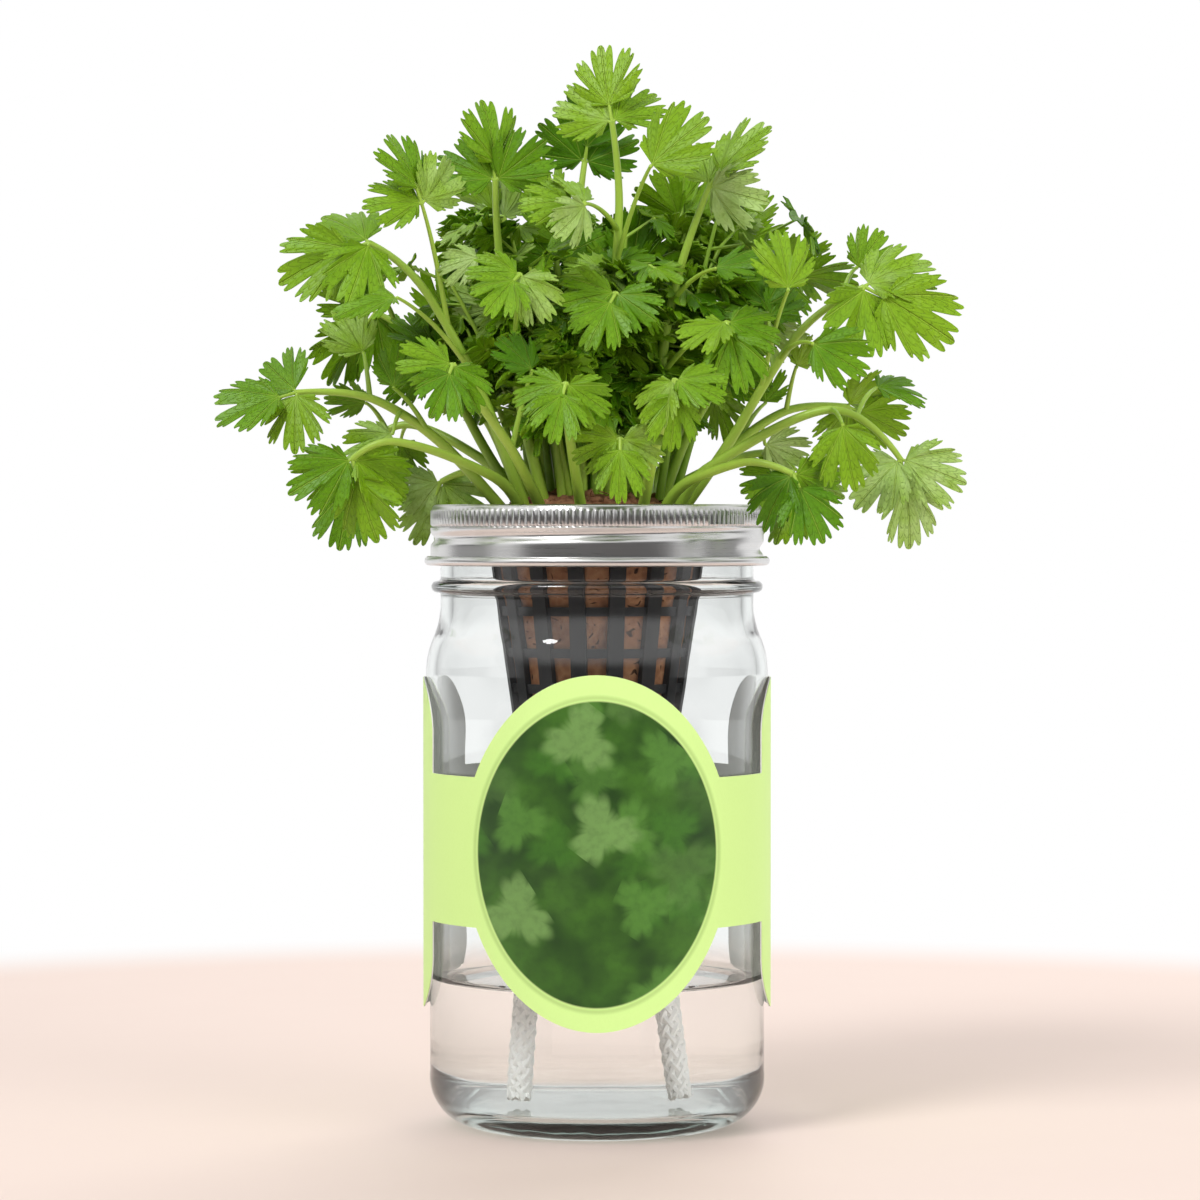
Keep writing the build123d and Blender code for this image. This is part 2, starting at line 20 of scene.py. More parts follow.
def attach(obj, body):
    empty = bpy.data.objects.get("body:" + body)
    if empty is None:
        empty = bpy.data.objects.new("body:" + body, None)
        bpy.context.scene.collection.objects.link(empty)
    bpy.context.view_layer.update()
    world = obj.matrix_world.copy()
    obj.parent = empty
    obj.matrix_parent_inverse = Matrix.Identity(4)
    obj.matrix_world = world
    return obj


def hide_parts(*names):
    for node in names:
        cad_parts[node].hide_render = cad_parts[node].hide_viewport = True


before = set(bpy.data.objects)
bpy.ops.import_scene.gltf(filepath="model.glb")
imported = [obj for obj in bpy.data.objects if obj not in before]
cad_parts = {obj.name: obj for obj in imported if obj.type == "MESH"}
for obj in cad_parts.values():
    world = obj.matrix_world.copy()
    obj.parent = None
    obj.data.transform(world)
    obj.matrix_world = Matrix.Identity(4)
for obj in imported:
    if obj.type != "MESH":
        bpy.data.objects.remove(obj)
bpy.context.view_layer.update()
LOG = logging.getLogger("planter")

MM = 0.001
Pair = tuple[float, float]
Triple = tuple[float, float, float]
Colour = tuple[float, float, float, float]
WHITE: Colour = (1.0, 1.0, 1.0, 1.0)


def linear(red: int, green: int, blue: int) -> Colour:
    """A display colour of 0 to 255 as the linear colour that a shader socket takes."""
    parts = [c / 255 for c in (red, green, blue)]
    return (*((p / 12.92) if p <= 0.04045 else ((p + 0.055) / 1.055) ** 2.4 for p in parts), 1.0)


def held(share: float) -> float:
    """A share kept between 0 and 1."""
    return min(1.0, max(0.0, share))


class Sock:
    """An output socket that takes part in Python expressions; each operator adds a Math node."""

    def __init__(self, tree: bpy.types.NodeTree, out: bpy.types.NodeSocket) -> None:
        """Wraps an output socket of a node tree."""
        self.tree = tree
        self.out = out

    def also(self, name: int | str) -> Sock:
        """Another output of the same node, by name or number."""
        return Sock(self.tree, self.out.node.outputs[name])

    def _math(self, operation: str, *terms: Sock | float) -> Sock:
        """Adds one Math node.

        Args:
            operation: The Math node's operation.
            terms: Its inputs in order, sockets or numbers.

        Returns:
            The node's result.
        """
        node = self.tree.nodes.new("ShaderNodeMath")
        node.operation = operation
        for slot, term in zip(node.inputs, terms):
            if isinstance(term, Sock):
                self.tree.links.new(term.out, slot)
            else:
                slot.default_value = term
        return Sock(self.tree, node.outputs[0])

    def __add__(self, other: Sock | float) -> Sock:
        """Sum."""
        return self._math("ADD", self, other)

    __radd__ = __add__

    def __sub__(self, other: Sock | float) -> Sock:
        """Difference."""
        return self._math("SUBTRACT", self, other)

    def __rsub__(self, other: Sock | float) -> Sock:
        """Difference from a number."""
        return self._math("SUBTRACT", other, self)

    def __mul__(self, other: Sock | float) -> Sock:
        """Product."""
        return self._math("MULTIPLY", self, other)

    __rmul__ = __mul__

    def __truediv__(self, other: Sock | float) -> Sock:
        """Quotient."""
        return self._math("DIVIDE", self, other)

    def __pow__(self, other: Sock | float) -> Sock:
        """Power."""
        return self._math("POWER", self, other)

    def __abs__(self) -> Sock:
        """Size without sign."""
        return self._math("ABSOLUTE", self)

    def fract(self) -> Sock:
        """The part after the point."""
        return self._math("FRACT", self)

    def below(self, limit: Sock | float) -> Sock:
        """1 where the value is under a limit, else 0."""
        return self._math("LESS_THAN", self, limit)

    def most(self, other: Sock | float) -> Sock:
        """The larger of two values."""
        return self._math("MAXIMUM", self, other)

    def least(self, other: Sock | float) -> Sock:
        """The smaller of two values."""
        return self._math("MINIMUM", self, other)

    def cosine(self) -> Sock:
        """The cosine of an angle in radians."""
        return self._math("COSINE", self)

    def bearing(self, along: Sock) -> Sock:
        """The angle of a point that is this far up and so far along."""
        return self._math("ARCTAN2", self, along)

    def eased(self, low: float, high: float) -> Sock:
        """A smooth step from 0 at low to 1 at high; low may be the larger.

        Args:
            low: The value that gives 0.
            high: The value that gives 1.

        Returns:
            The stepped value.
        """
        node = self.tree.nodes.new("ShaderNodeMapRange")
        node.interpolation_type = "SMOOTHSTEP"
        self.tree.links.new(self.out, node.inputs["Value"])
        node.inputs["From Min"].default_value = low
        node.inputs["From Max"].default_value = high
        return Sock(self.tree, node.outputs["Result"])


Feed = Sock | float | Sequence[float]


class Finish:
    """A material or world under construction: a node tree, and the one method that adds nodes to it."""

    def __init__(self, holder: bpy.types.Material | bpy.types.World) -> None:
        """Starts an empty node tree in a material or world."""
        self.holder = holder
        self.holder.use_nodes = True
        self.tree = self.holder.node_tree
        self.tree.nodes.clear()

    @classmethod
    def named(cls, name: str) -> Finish:
        """The finish of a new material."""
        return cls(bpy.data.materials.new(name))

    def node(self, kind: str, take: int | str = 0, settings: dict | None = None, **feeds: Feed) -> Sock:
        """Adds a node.

        Args:
            kind: The node's type without the ShaderNode prefix.
            take: The output to hand back, by name or number.
            settings: Properties set before the sockets; "stops" are a ramp's (place, colour) pairs.
            feeds: Values or links of its input sockets; _ stands for a space, in_3 for the third number.

        Returns:
            The wanted output.
        """
        node = self.tree.nodes.new("ShaderNode" + kind)
        for key, value in (settings or {}).items():
            if key == "stops":
                ramp = node.color_ramp
                while len(ramp.elements) < len(value):
                    ramp.elements.new(1.0)
                for stop, (place, colour) in zip(ramp.elements, value):
                    stop.position = place
                    stop.color = colour
            else:
                setattr(node, key, value)
        for key, value in feeds.items():
            slot = node.inputs[int(key[3:])] if key.startswith("in_") else node.inputs[key.replace("_", " ")]
            if isinstance(value, Sock):
                self.tree.links.new(value.out, slot)
            else:
                slot.default_value = value
        return Sock(self.tree, node.outputs[take]) if node.outputs else None

    def place(self) -> Sock:
        """The point of the surface in the piece's own coordinates."""
        return self.node("TexCoord", "Object")

    def axes(self, vector: Sock) -> tuple[Sock, Sock, Sock]:
        """The three parts of a vector."""
        first = self.node("SeparateXYZ", "X", Vector=vector)
        return first, first.also("Y"), first.also("Z")

    def stretched(self, vector: Sock, scale: Triple) -> Sock:
        """A vector scaled along each axis."""
        return self.node("Mapping", settings={"vector_type": "POINT"}, Vector=vector, Scale=scale)

    def grain(self, vector: Sock, scale: float, detail: float = 3.0, rough: float = 0.55) -> Sock:
        """Soft noise of about 0 to 1.

        Args:
            vector: Where it is read.
            scale: Its fineness.
            detail: Its layers.
            rough: The share of the finer layers.

        Returns:
            The noise's value.
        """
        return self.node("TexNoise", "Fac", Vector=vector, Scale=scale, Detail=detail, Roughness=rough)

    def blend(self, share: Feed, first: Feed, second: Feed) -> Sock:
        """A colour between two, by a share."""
        return self.node("Mix", 2, {"data_type": "RGBA"}, in_0=share, in_6=first, in_7=second)

    def bump(self, height: Sock, depth: float, strength: float = 1.0) -> Sock:
        """A normal raised by a height of 0 to 1 over a depth in metres."""
        return self.node("Bump", Height=height, Distance=depth, Strength=strength)

    def lit_through(self, shader: Sock) -> Sock:
        """A clear shader that lets light on its way to what is behind pass straight through."""
        shadow = self.node("LightPath", "Is Shadow Ray")
        diffuse = shadow.also("Is Diffuse Ray")
        clear = self.node("BsdfTransparent", "BSDF", Color=(0.97, 0.98, 0.975, 1.0))
        return self.node("MixShader", "Shader", in_0=shadow.most(diffuse), in_1=shader, in_2=clear)

    def surface(self, **feeds: Feed) -> bpy.types.Material:
        """Ends the material in one Principled shader with the given sockets."""
        shader = self.node("BsdfPrincipled", "BSDF", **feeds)
        self.node("OutputMaterial", Surface=shader)
        return self.holder


@dataclass(frozen=True)
class ClearGlass:
    """Pressed jar glass: clear, with slow ripples and a slight green in its depth."""

    depth_tint: Colour = (0.30, 0.52, 0.45, 1.0)
    depth_density: float = 18.0

    def make(self) -> bpy.types.Material:
        """The glass material."""
        finish = Finish.named("jar_glass")
        where = finish.place()
        ripple = finish.grain(finish.stretched(where, (1.0, 1.0, 0.35)), 70.0, 2.0)
        shader = finish.node(
            "BsdfPrincipled", "BSDF",
            Base_Color=WHITE, Transmission_Weight=1.0, IOR=1.5,
            Roughness=finish.grain(where, 200.0) * 0.02,
            Normal=finish.bump(ripple, 0.0002, 0.35),
        )
        depth = finish.node("VolumeAbsorption", "Volume", Color=self.depth_tint, Density=self.depth_density)
        finish.node("OutputMaterial", Surface=finish.lit_through(shader), Volume=depth)
        return finish.holder


@dataclass(frozen=True)
class StillWater:
    """Clear water with a faint ripple."""

    def make(self) -> bpy.types.Material:
        """The water material."""
        finish = Finish.named("still_water")
        ripple = finish.grain(finish.place(), 45.0, 1.0)
        shader = finish.node(
            "BsdfPrincipled", "BSDF", Base_Color=WHITE, Transmission_Weight=1.0, IOR=1.333,
            Roughness=ripple * 0.01, Normal=finish.bump(ripple, 0.0003, 0.25),
        )
        finish.node("OutputMaterial", Surface=finish.lit_through(shader))
        return finish.holder


@dataclass(frozen=True)
class PrintedCard:
    """Coated card in lime, white inside, with a dark oval of soft-focus greenery on the front."""

    lime: Colour = linear(216, 252, 156)
    face_r: float = 0.04705
    oval_z: float = 0.0768
    oval_half_w: float = 0.0316
    oval_half_h: float = 0.0403
    fronds: tuple[tuple[float, float, float, Colour], ...] = (
        (58.0, 3.1, 0.14, linear(62, 116, 30)),
        (50.0, 7.7, 0.10, linear(84, 136, 50)),
        (42.0, 1.3, 0.08, linear(118, 160, 86)),
    )

    def frond_layer(
        self, finish: Finish, flat: Sock, scale: float, shift: float, blur: float,
    ) -> tuple[Sock, Sock]:
        """Scattered soft lobed leaf shapes.

        Args:
            finish: The material they are added to.
            flat: The place on the print, with its height as the second axis.
            scale: How many shapes there are to a metre.
            shift: A move that keeps layers apart.
            blur: How soft their edges are.

        Returns:
            The shapes' mask, and a value that differs from shape to shape.
        """
        spread = finish.node("Mapping", Vector=flat, Location=(shift, shift, 0.0), Scale=(scale,) * 3)
        cell = finish.node("TexVoronoi", "Distance", {"voronoi_dimensions": "2D"}, Vector=spread, Scale=1.0)
        chance, other, _ = finish.axes(cell.also("Color"))
        local = finish.node(
            "VectorMath", settings={"operation": "SUBTRACT"}, in_0=spread, in_1=cell.also("Position"),
        )
        along, up, _ = finish.axes(local)
        turn = up.bearing(along) + chance * 6.28
        edge = 0.13 + abs((turn * 1.5).cosine()) * 0.23 + abs((turn * 6.0).cosine()) * 0.07
        return (edge - cell).eased(-blur, blur), other

    def make(self) -> bpy.types.Material:
        """The card material."""
        finish = Finish.named("printed_card")
        where = finish.place()
        x, y, z = finish.axes(where)
        oval = (x / self.oval_half_w) ** 2.0 + ((z - self.oval_z) / self.oval_half_h) ** 2.0
        print_mask = oval.eased(1.0, 0.97) * y.below(0.0)
        flat = finish.node("CombineXYZ", X=x, Y=z, Z=0.0)
        glow = finish.grain(flat, 60.0, 2.0)
        green = finish.blend(glow.eased(0.3, 0.7), linear(26, 62, 12), linear(62, 110, 28))
        for scale, shift, blur, tone in self.fronds:
            mask, other = self.frond_layer(finish, flat, scale, shift, blur)
            green = finish.blend(mask * other.eased(0.1, 0.8) * 0.85, green, tone)
        speck = finish.grain(flat, 420.0, 3.0).eased(0.35, 0.8)
        green = finish.blend(speck * 0.25, green, linear(20, 50, 10))
        fibre = finish.grain(finish.stretched(where, (1.0, 1.0, 0.5)), 2600.0, 2.0)
        lime = finish.blend(fibre.eased(0.35, 0.75) * 0.10, self.lime, linear(196, 236, 130))
        rim = (abs(oval - 1.03)).eased(0.06, 0.0) * y.below(0.0)
        edged = finish.blend(rim * 0.35, lime, linear(120, 160, 70))
        printed = finish.blend(print_mask, edged, green)
        raw = finish.blend(fibre, linear(250, 249, 246), linear(236, 234, 229))
        return finish.surface(
            Base_Color=finish.blend((x * x + y * y).below(self.face_r**2), printed, raw),
            Roughness=0.48 + fibre * 0.10 - print_mask * 0.12,
            Normal=finish.bump(fibre, 0.00004, 0.3),
        )


@dataclass(frozen=True)
class BrightTinplate:
    """Bright tinned sheet with fine lines drawn round it by the forming rollers."""

    tone: Colour = (0.80, 0.795, 0.79, 1.0)
    dull: Colour = (0.62, 0.615, 0.61, 1.0)

    def make(self) -> bpy.types.Material:
        """The band's metal."""
        finish = Finish.named("bright_tinplate")
        where = finish.place()
        drawn = finish.grain(finish.stretched(where, (12.0, 12.0, 2600.0)), 1.0, 3.0)
        cloud = finish.grain(where, 60.0, 3.0)
        return finish.surface(
            Base_Color=finish.blend(drawn * 0.5 + cloud * 0.4, self.tone, self.dull),
            Metallic=1.0, Roughness=0.20 + drawn * 0.10 + cloud * 0.08,
            Normal=finish.bump(drawn, 0.00003, 0.25),
        )


@dataclass(frozen=True)
class BlackPlastic:
    """Moulded black plastic with a satin grain."""

    name: str
    tone: Colour = linear(36, 36, 38)

    def make(self) -> bpy.types.Material:
        """The plastic."""
        finish = Finish.named(self.name)
        where = finish.place()
        fine = finish.grain(where, 1400.0, 2.0)
        cloud = finish.grain(where, 90.0, 3.0)
        return finish.surface(
            Base_Color=finish.blend(cloud.eased(0.35, 0.7) * 0.6, self.tone, linear(50, 50, 53)),
            Roughness=0.42 + cloud * 0.16 + fine * 0.06,
            Normal=finish.bump(fine, 0.00006, 0.3),
        )


@dataclass(frozen=True)
class PressedCoir:
    """Pressed coir: brown crumb with darker flecks and short fibres."""

    def dashes(self, finish: Finish, where: Sock, scale: Triple, count: float) -> Sock:
        """Short dark fibres that lie one way.

        Args:
            finish: The material they are added to.
            where: The place on the coir.
            scale: How the place is scaled along each axis.
            count: How many cells of the pattern there are to a metre.

        Returns:
            Their mask.
        """
        cell = finish.node(
            "TexVoronoi", "Distance", {"feature": "F1"}, Vector=finish.stretched(where, scale), Scale=count,
        )
        chance, _, _ = finish.axes(cell.also("Color"))
        return cell.eased(0.24, 0.13) * chance.below(0.55)

    def make(self) -> bpy.types.Material:
        """The coir."""
        finish = Finish.named("pressed_coir")
        where = finish.place()
        crumb = finish.node("TexVoronoi", "Distance", {"feature": "F1"}, Vector=where, Scale=520.0)
        cloud = finish.grain(where, 160.0, 4.0)
        warp = finish.node("TexNoise", "Color", Vector=where, Scale=260.0, Detail=1.0)
        bent = finish.node(
            "VectorMath", settings={"operation": "MULTIPLY_ADD"},
            in_0=warp, in_1=(0.006, 0.006, 0.006), in_2=where,
        )
        fleck = self.dashes(finish, bent, (1.0, 1.0, 0.25), 640.0)
        fleck = fleck.most(self.dashes(finish, bent, (0.25, 0.25, 1.0), 700.0))
        base = finish.node(
            "ValToRGB", "Color",
            {"stops": (
                (0.0, linear(84, 54, 38)), (0.45, linear(134, 93, 67)), (0.75, linear(162, 119, 88)),
                (1.0, linear(188, 147, 113)),
            )},
            Fac=cloud * 0.75 + crumb * 0.35,
        )
        return finish.surface(
            Base_Color=finish.blend(fleck * 0.85, base, linear(38, 23, 16)),
            Roughness=0.85 + crumb * 0.1, Specular_IOR_Level=0.2,
            Normal=finish.bump(cloud * 0.6 + crumb * 0.4 - fleck * 0.5, 0.0008, 0.8),
        )


@dataclass(frozen=True)
class WhiteCotton:
    """Braided white cotton with fine fibre."""

    def make(self) -> bpy.types.Material:
        """The cotton."""
        finish = Finish.named("white_cotton")
        where = finish.place()
        fibre = finish.grain(where, 2400.0, 3.0)
        stain = finish.grain(where, 120.0, 3.0).eased(0.4, 0.8)
        return finish.surface(
            Base_Color=finish.blend(stain * 0.5, linear(249, 249, 249), linear(231, 230, 227)),
            Roughness=0.7 + fibre * 0.2, Specular_IOR_Level=0.3,
            Normal=finish.bump(fibre, 0.0001, 0.6),
        )


@dataclass(frozen=True)
class FreshStem:
    """A pale green stalk, ridged along its length."""

    def make(self) -> bpy.types.Material:
        """The stem."""
        finish = Finish.named("fresh_stem")
        where = finish.place()
        tone = finish.node("Attribute", "Fac", {"attribute_name": "tone"})
        streak = finish.grain(finish.stretched(where, (900.0, 900.0, 60.0)), 1.0, 3.0)
        cloud = finish.grain(where, 70.0, 2.0)
        plain = finish.blend(tone, linear(88, 136, 20), linear(182, 212, 84))
        return finish.surface(
            Base_Color=finish.blend(streak * 0.3 + cloud * 0.3, plain, linear(128, 174, 40)),
            Roughness=0.34 + cloud * 0.14,
            Normal=finish.bump(streak, 0.0003, 0.5),
        )


@dataclass(frozen=True)
class LeafGreen:
    """A soft leaf: veins that fan from its heart, mottling and a dull gloss, with a painted pale sheen on
    leaves of high tone and painted shade on leaves of low tone.
    """

    veins: float = 5.0
    span: float = radians(176)

    def make(self) -> bpy.types.Material:
        """The leaf."""
        finish = Finish.named("leaf_green")
        where = finish.place()
        u, v, _ = finish.axes(finish.node("UVMap", "UV", {"uv_map": "UVMap"}))
        tone = finish.node("Attribute", "Fac", {"attribute_name": "tone"})
        off_vein = abs((u * self.veins).fract() - 0.5)
        aside = off_vein * v * (self.span / self.veins)
        main_vein = aside.eased(0.022, 0.006)
        side_vein = abs((v * 7.0 - off_vein * 5.0).fract() - 0.5).eased(0.10, 0.02) * v.eased(0.1, 0.4)
        vein = main_vein * 0.75 + side_vein * 0.30
        mottle = finish.grain(where, 230.0, 4.0)
        cloud = finish.grain(where, 55.0, 2.0)
        # The ramp's pale top stop is a painted sheen on the leaves of highest tone; its low stops carry the
        # painted shade given to the inner growth.
        base = finish.node(
            "ValToRGB", "Color",
            {"stops": (
                (0.0, linear(58, 112, 1)), (0.35, linear(97, 146, 2)), (0.7, linear(130, 172, 26)),
                (1.0, linear(180, 208, 132)),
            )},
            Fac=tone * 0.80 + mottle * 0.34 + cloud * 0.26 - 0.20,
        )
        return finish.surface(
            Base_Color=finish.blend(vein * 0.45, base, linear(166, 200, 70)),
            Roughness=0.36 + mottle * 0.18, Specular_IOR_Level=0.30,
            Normal=finish.bump(mottle * 0.5 - vein * 0.9, 0.0009, 0.9),
        )


def keep(
    mesh: bpy.types.Mesh, name: str, body: str, finishes: Iterable[bpy.types.Material],
    replaces: Sequence[str] = (),
) -> bpy.types.Object:
    """Makes a piece of a mesh, dresses it and ties it to the frame.

    Args:
        mesh: The finished mesh, in place.
        name: The piece's name.
        body: The body that it rides on.
        finishes: Its materials, in the order of its faces' indices.
        replaces: The nodes that it stands for.

    Returns:
        The piece.
    """
    mesh.name = name
    for finish in finishes:
        mesh.materials.append(finish)
    piece = bpy.data.objects.new(name, mesh)
    bpy.context.scene.collection.objects.link(piece)
    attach(piece, body)
    if replaces:
        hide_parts(*replaces)
    LOG.info("%s: %d faces on %s", name, len(mesh.polygons), body)
    return piece


def meshed(bm: bmesh.types.BMesh, sharp: float = 40.0) -> bpy.types.Mesh:
    """Ends a bmesh as a smooth mesh whose edges over an angle stay sharp."""
    mesh = bpy.data.meshes.new("piece")
    for face in bm.faces:
        face.smooth = True
    bm.to_mesh(mesh)
    bm.free()
    mesh.set_sharp_from_angle(angle=radians(sharp))
    return mesh


def spline_curve(
    points: Sequence[Vector], radii: Sequence[float] | None = None, sides: int = 2, steps: int = 8,
) -> bpy.types.Object:
    """A curve object of one smooth NURBS spline, round where radii are given.

    Args:
        points: The spline's control points.
        radii: The round's radius at each point, or None for a bare line.
        sides: The bevel resolution of the round.
        steps: The resolution along the spline.

    Returns:
        The curve object, not linked to the scene.
    """
    curve = bpy.data.curves.new("line", "CURVE")
    curve.dimensions = "3D"
    curve.resolution_u = steps
    spline = curve.splines.new("NURBS")
    spline.points.add(len(points) - 1)
    for k, (spot, point) in enumerate(zip(spline.points, points)):
        spot.co = (*point, 1.0)
        spot.radius = radii[k] if radii else 1.0
    spline.order_u = 3
    spline.use_endpoint_u = True
    if radii:
        curve.bevel_depth = 1.0
        curve.bevel_resolution = sides
        curve.use_fill_caps = True
    return bpy.data.objects.new("line", curve)


def curve_mesh(
    points: Sequence[Vector], radii: Sequence[float] | None = None, sides: int = 2, steps: int = 8,
) -> bpy.types.Mesh:
    """The mesh of a spline_curve with the same arguments."""
    curve = spline_curve(points, radii, sides, steps)
    mesh = bpy.data.meshes.new_from_object(curve)
    bpy.data.objects.remove(curve)
    return mesh


def line_points(points: Sequence[Vector], steps: int = 8) -> list[Vector]:
    """Points read in order along the smooth spline of the control points."""
    return [vert.co.copy() for vert in curve_mesh(points, steps=steps).vertices]


@dataclass
class Studio:
    """The camera, the floor, the white surround and the soft lamps."""

    camera_at: Triple = (0.0008, -1.09, 0.1627)
    target: Triple = (0.0008, 0.0, 0.1423)
    lens: float = 120.4
    lamp_target: Triple = (0.0, 0.0, 0.15)
    world_light: float = 0.50
    floor_r: float = 3.0
    floor_fade: Pair = (0.40, 0.50)
    jar_glow: Pair = (0.050, 0.030)
    floor_tone: Colour = linear(233, 213, 203)
    far_tone: Colour = (0.05, 0.05, 0.052, 1.0)

    def build(self) -> None:
        """Makes the whole studio."""
        self.place_camera()
        self.lay_floor()
        self.light_world()
        self.hang_lamp("key_lamp", (-0.7, -0.85, 1.35), 0.5, 14.0, True)
        self.hang_lamp("fill_lamp", (1.1, -0.9, 0.5), 0.9, 8.0, False)
        self.hang_lamp("back_lamp", (0.3, 1.0, 1.0), 0.8, 8.0, False)

    def aimed(self, at: Triple, target: Triple) -> Matrix:
        """A place at a point that looks along its -Z at a target."""
        heading = Vector(target) - Vector(at)
        return Matrix.LocRotScale(Vector(at), heading.to_track_quat("-Z", "Y"), None)

    def place_camera(self) -> None:
        """The camera at the photograph's place and angle."""
        camera = bpy.data.objects.new("camera", bpy.data.cameras.new("camera"))
        camera.data.lens = self.lens
        camera.data.sensor_width = 36.0
        camera.matrix_world = self.aimed(self.camera_at, self.target)
        bpy.context.scene.collection.objects.link(camera)
        bpy.context.scene.camera = camera

    def lay_floor(self) -> None:
        """A round pale floor that fades to white far out, and glows where the jar gathers light on it."""
        bm = bmesh.new()
        bmesh.ops.create_circle(bm, cap_ends=True, radius=self.floor_r, segments=96)
        floor = bpy.data.objects.new("floor", meshed(bm))
        finish = Finish.named("pale_floor")
        where = finish.place()
        x, y, _ = finish.axes(where)
        out = (x * x + y * y) ** 0.5
        grain = finish.grain(where, 30.0, 3.0)
        pale = finish.node(
            "BsdfPrincipled", "BSDF",
            Base_Color=finish.blend(grain * 0.3, self.floor_tone, linear(238, 220, 210)), Roughness=0.6,
        )
        seen = self.seen_rays(finish)
        glossy = finish.node("LightPath", "Is Glossy Ray")
        through = glossy.also("Is Transmission Ray")
        far = finish.blend(glossy * y.eased(0.1, -0.5), WHITE, self.far_tone)
        white = finish.node("Emission", "Emission", Color=far, Strength=1.0)
        gathered = finish.node("Emission", "Emission", Color=self.floor_tone, Strength=0.85)
        glowing = out.eased(*self.jar_glow) * through * 0.8
        pale = finish.node("MixShader", "Shader", in_0=glowing, in_1=pale, in_2=gathered)
        faded = out.eased(*self.floor_fade) * seen
        shader = finish.node("MixShader", "Shader", in_0=faded, in_1=pale, in_2=white)
        finish.node("OutputMaterial", Surface=shader)
        floor.data.materials.append(finish.holder)
        bpy.context.scene.collection.objects.link(floor)

    def seen_rays(self, finish: Finish) -> Sock:
        """1 for the rays that show the surround: from the camera, a reflection or through glass."""
        camera = finish.node("LightPath", "Is Camera Ray")
        return (camera + camera.also("Is Glossy Ray") + camera.also("Is Transmission Ray")).least(1.0)

    def light_world(self) -> None:
        """A white surround to look at, and a plain level of light from all round.

        In reflections its front is dark but for two soft boxes, and through glass its sides are dark, so that
        metal and glass show their edges.
        """
        finish = Finish(bpy.data.worlds.new("studio"))
        bpy.context.scene.world = finish.holder
        x, y, z = finish.axes(finish.node("TexCoord", "Generated"))
        aside = abs(x)
        level = abs(z).eased(0.40, 0.14)
        soft_box = aside.eased(0.76, 0.84) * y.eased(-0.14, -0.26)
        dark = y.eased(0.2, -0.2).most(aside.eased(0.80, 0.93)) * (1 - soft_box)
        glossy = finish.node("LightPath", "Is Glossy Ray")
        through = glossy.also("Is Transmission Ray")
        beside = aside.eased(0.40, 0.74) * abs(z).eased(0.50, 0.20)
        unlit = (dark * glossy * level).most(beside * through * 0.85)
        surround = finish.blend(unlit, WHITE, self.far_tone)
        shown = finish.node("Background", "Background", Color=surround, Strength=1.0)
        sky = finish.blend(z.eased(-0.4, 0.8), (0.70, 0.70, 0.70, 1.0), WHITE)
        light = finish.node("Background", "Background", Color=sky, Strength=self.world_light)
        mixed = finish.node("MixShader", "Shader", in_0=self.seen_rays(finish), in_1=light, in_2=shown)
        finish.node("OutputWorld", Surface=mixed)
        bpy.context.scene.view_settings.view_transform = "Standard"

    def hang_lamp(self, name: str, at: Triple, size: float, power: float, mirrored: bool) -> None:
        """A soft round lamp aimed at the object.

        Args:
            name: The lamp's name.
            at: Where it hangs.
            size: Its width.
            power: Its power in watts.
            mirrored: Whether it shows in reflections.
        """
        lamp = bpy.data.lights.new(name, "AREA")
        lamp.shape = "DISK"
        lamp.size = size
        lamp.energy = power
        hung = bpy.data.objects.new(name, lamp)
        hung.visible_glossy = mirrored
        hung.visible_transmission = False
        hung.matrix_world = self.aimed(at, self.lamp_target)
        bpy.context.scene.collection.objects.link(hung)


@dataclass
class Wick:
    """A braided cotton wick from the coir down to the jar's floor."""

    name: str
    points: tuple[Triple, ...]
    length: float = 0.0993
    diameter: float = 0.006
    strands: int = 6
    strand_r: float = 0.00085
    lay_r: float = 0.00202
    weave: float = 0.00016
    turn_length: float = 0.024

    def build(self, cotton: bpy.types.Material) -> None:
        points = [Vector(point) for point in self.points]
        path = line_points(points, steps=48)
        frames = list(self.carried_frames(path))
        bm = bmesh.new()
        bm.from_mesh(curve_mesh(points, [self.lay_r] * len(points), 2, 12))
        for turn in (1, -1):
            for k in range(self.strands):
                strand = [self.strand_point(*spot, turn, k * 2 * pi / self.strands) for spot in frames]
                bm.from_mesh(curve_mesh(strand, [self.strand_r] * len(strand), 1, 1))
        piece = keep(meshed(bm), self.name + "_braid", "basket", [cotton], [self.name])

    def carried_frames(self, path: Sequence[Vector]) -> Iterator[tuple[float, Vector, Vector, Vector]]:
        """Frames along the path that turn no more than it does: run, point, and two sides."""
        side = Vector((1.0, 0.0, 0.0))
        run = 0.0
        for k, point in enumerate(path):
            heading = (path[min(k + 1, len(path) - 1)] - path[max(k - 1, 0)]).normalized()
            side = (side - heading * side.dot(heading)).normalized()
            yield run, point, side, heading.cross(side)
            run += (path[min(k + 1, len(path) - 1)] - point).length

    def strand_point(
        self, run: float, point: Vector, side: Vector, other: Vector, turn: int, start: float,
    ) -> Vector:
        """A point of one strand, which passes over and under those of the other hand.

        Args:
            run: The length from the wick's start.
            point: The wick's middle there.
            side: A unit vector across the wick.
            other: The unit vector across both.
            turn: 1 or -1, the hand of the strand.
            start: The strand's angle at the wick's start.

        Returns:
            The point.
        """
        wound = 2 * pi * run / self.turn_length
        out = self.lay_r + turn * self.weave * cos(self.strands * wound)
        angle = start + turn * wound
        return point + (side * cos(angle) + other * sin(angle)) * out


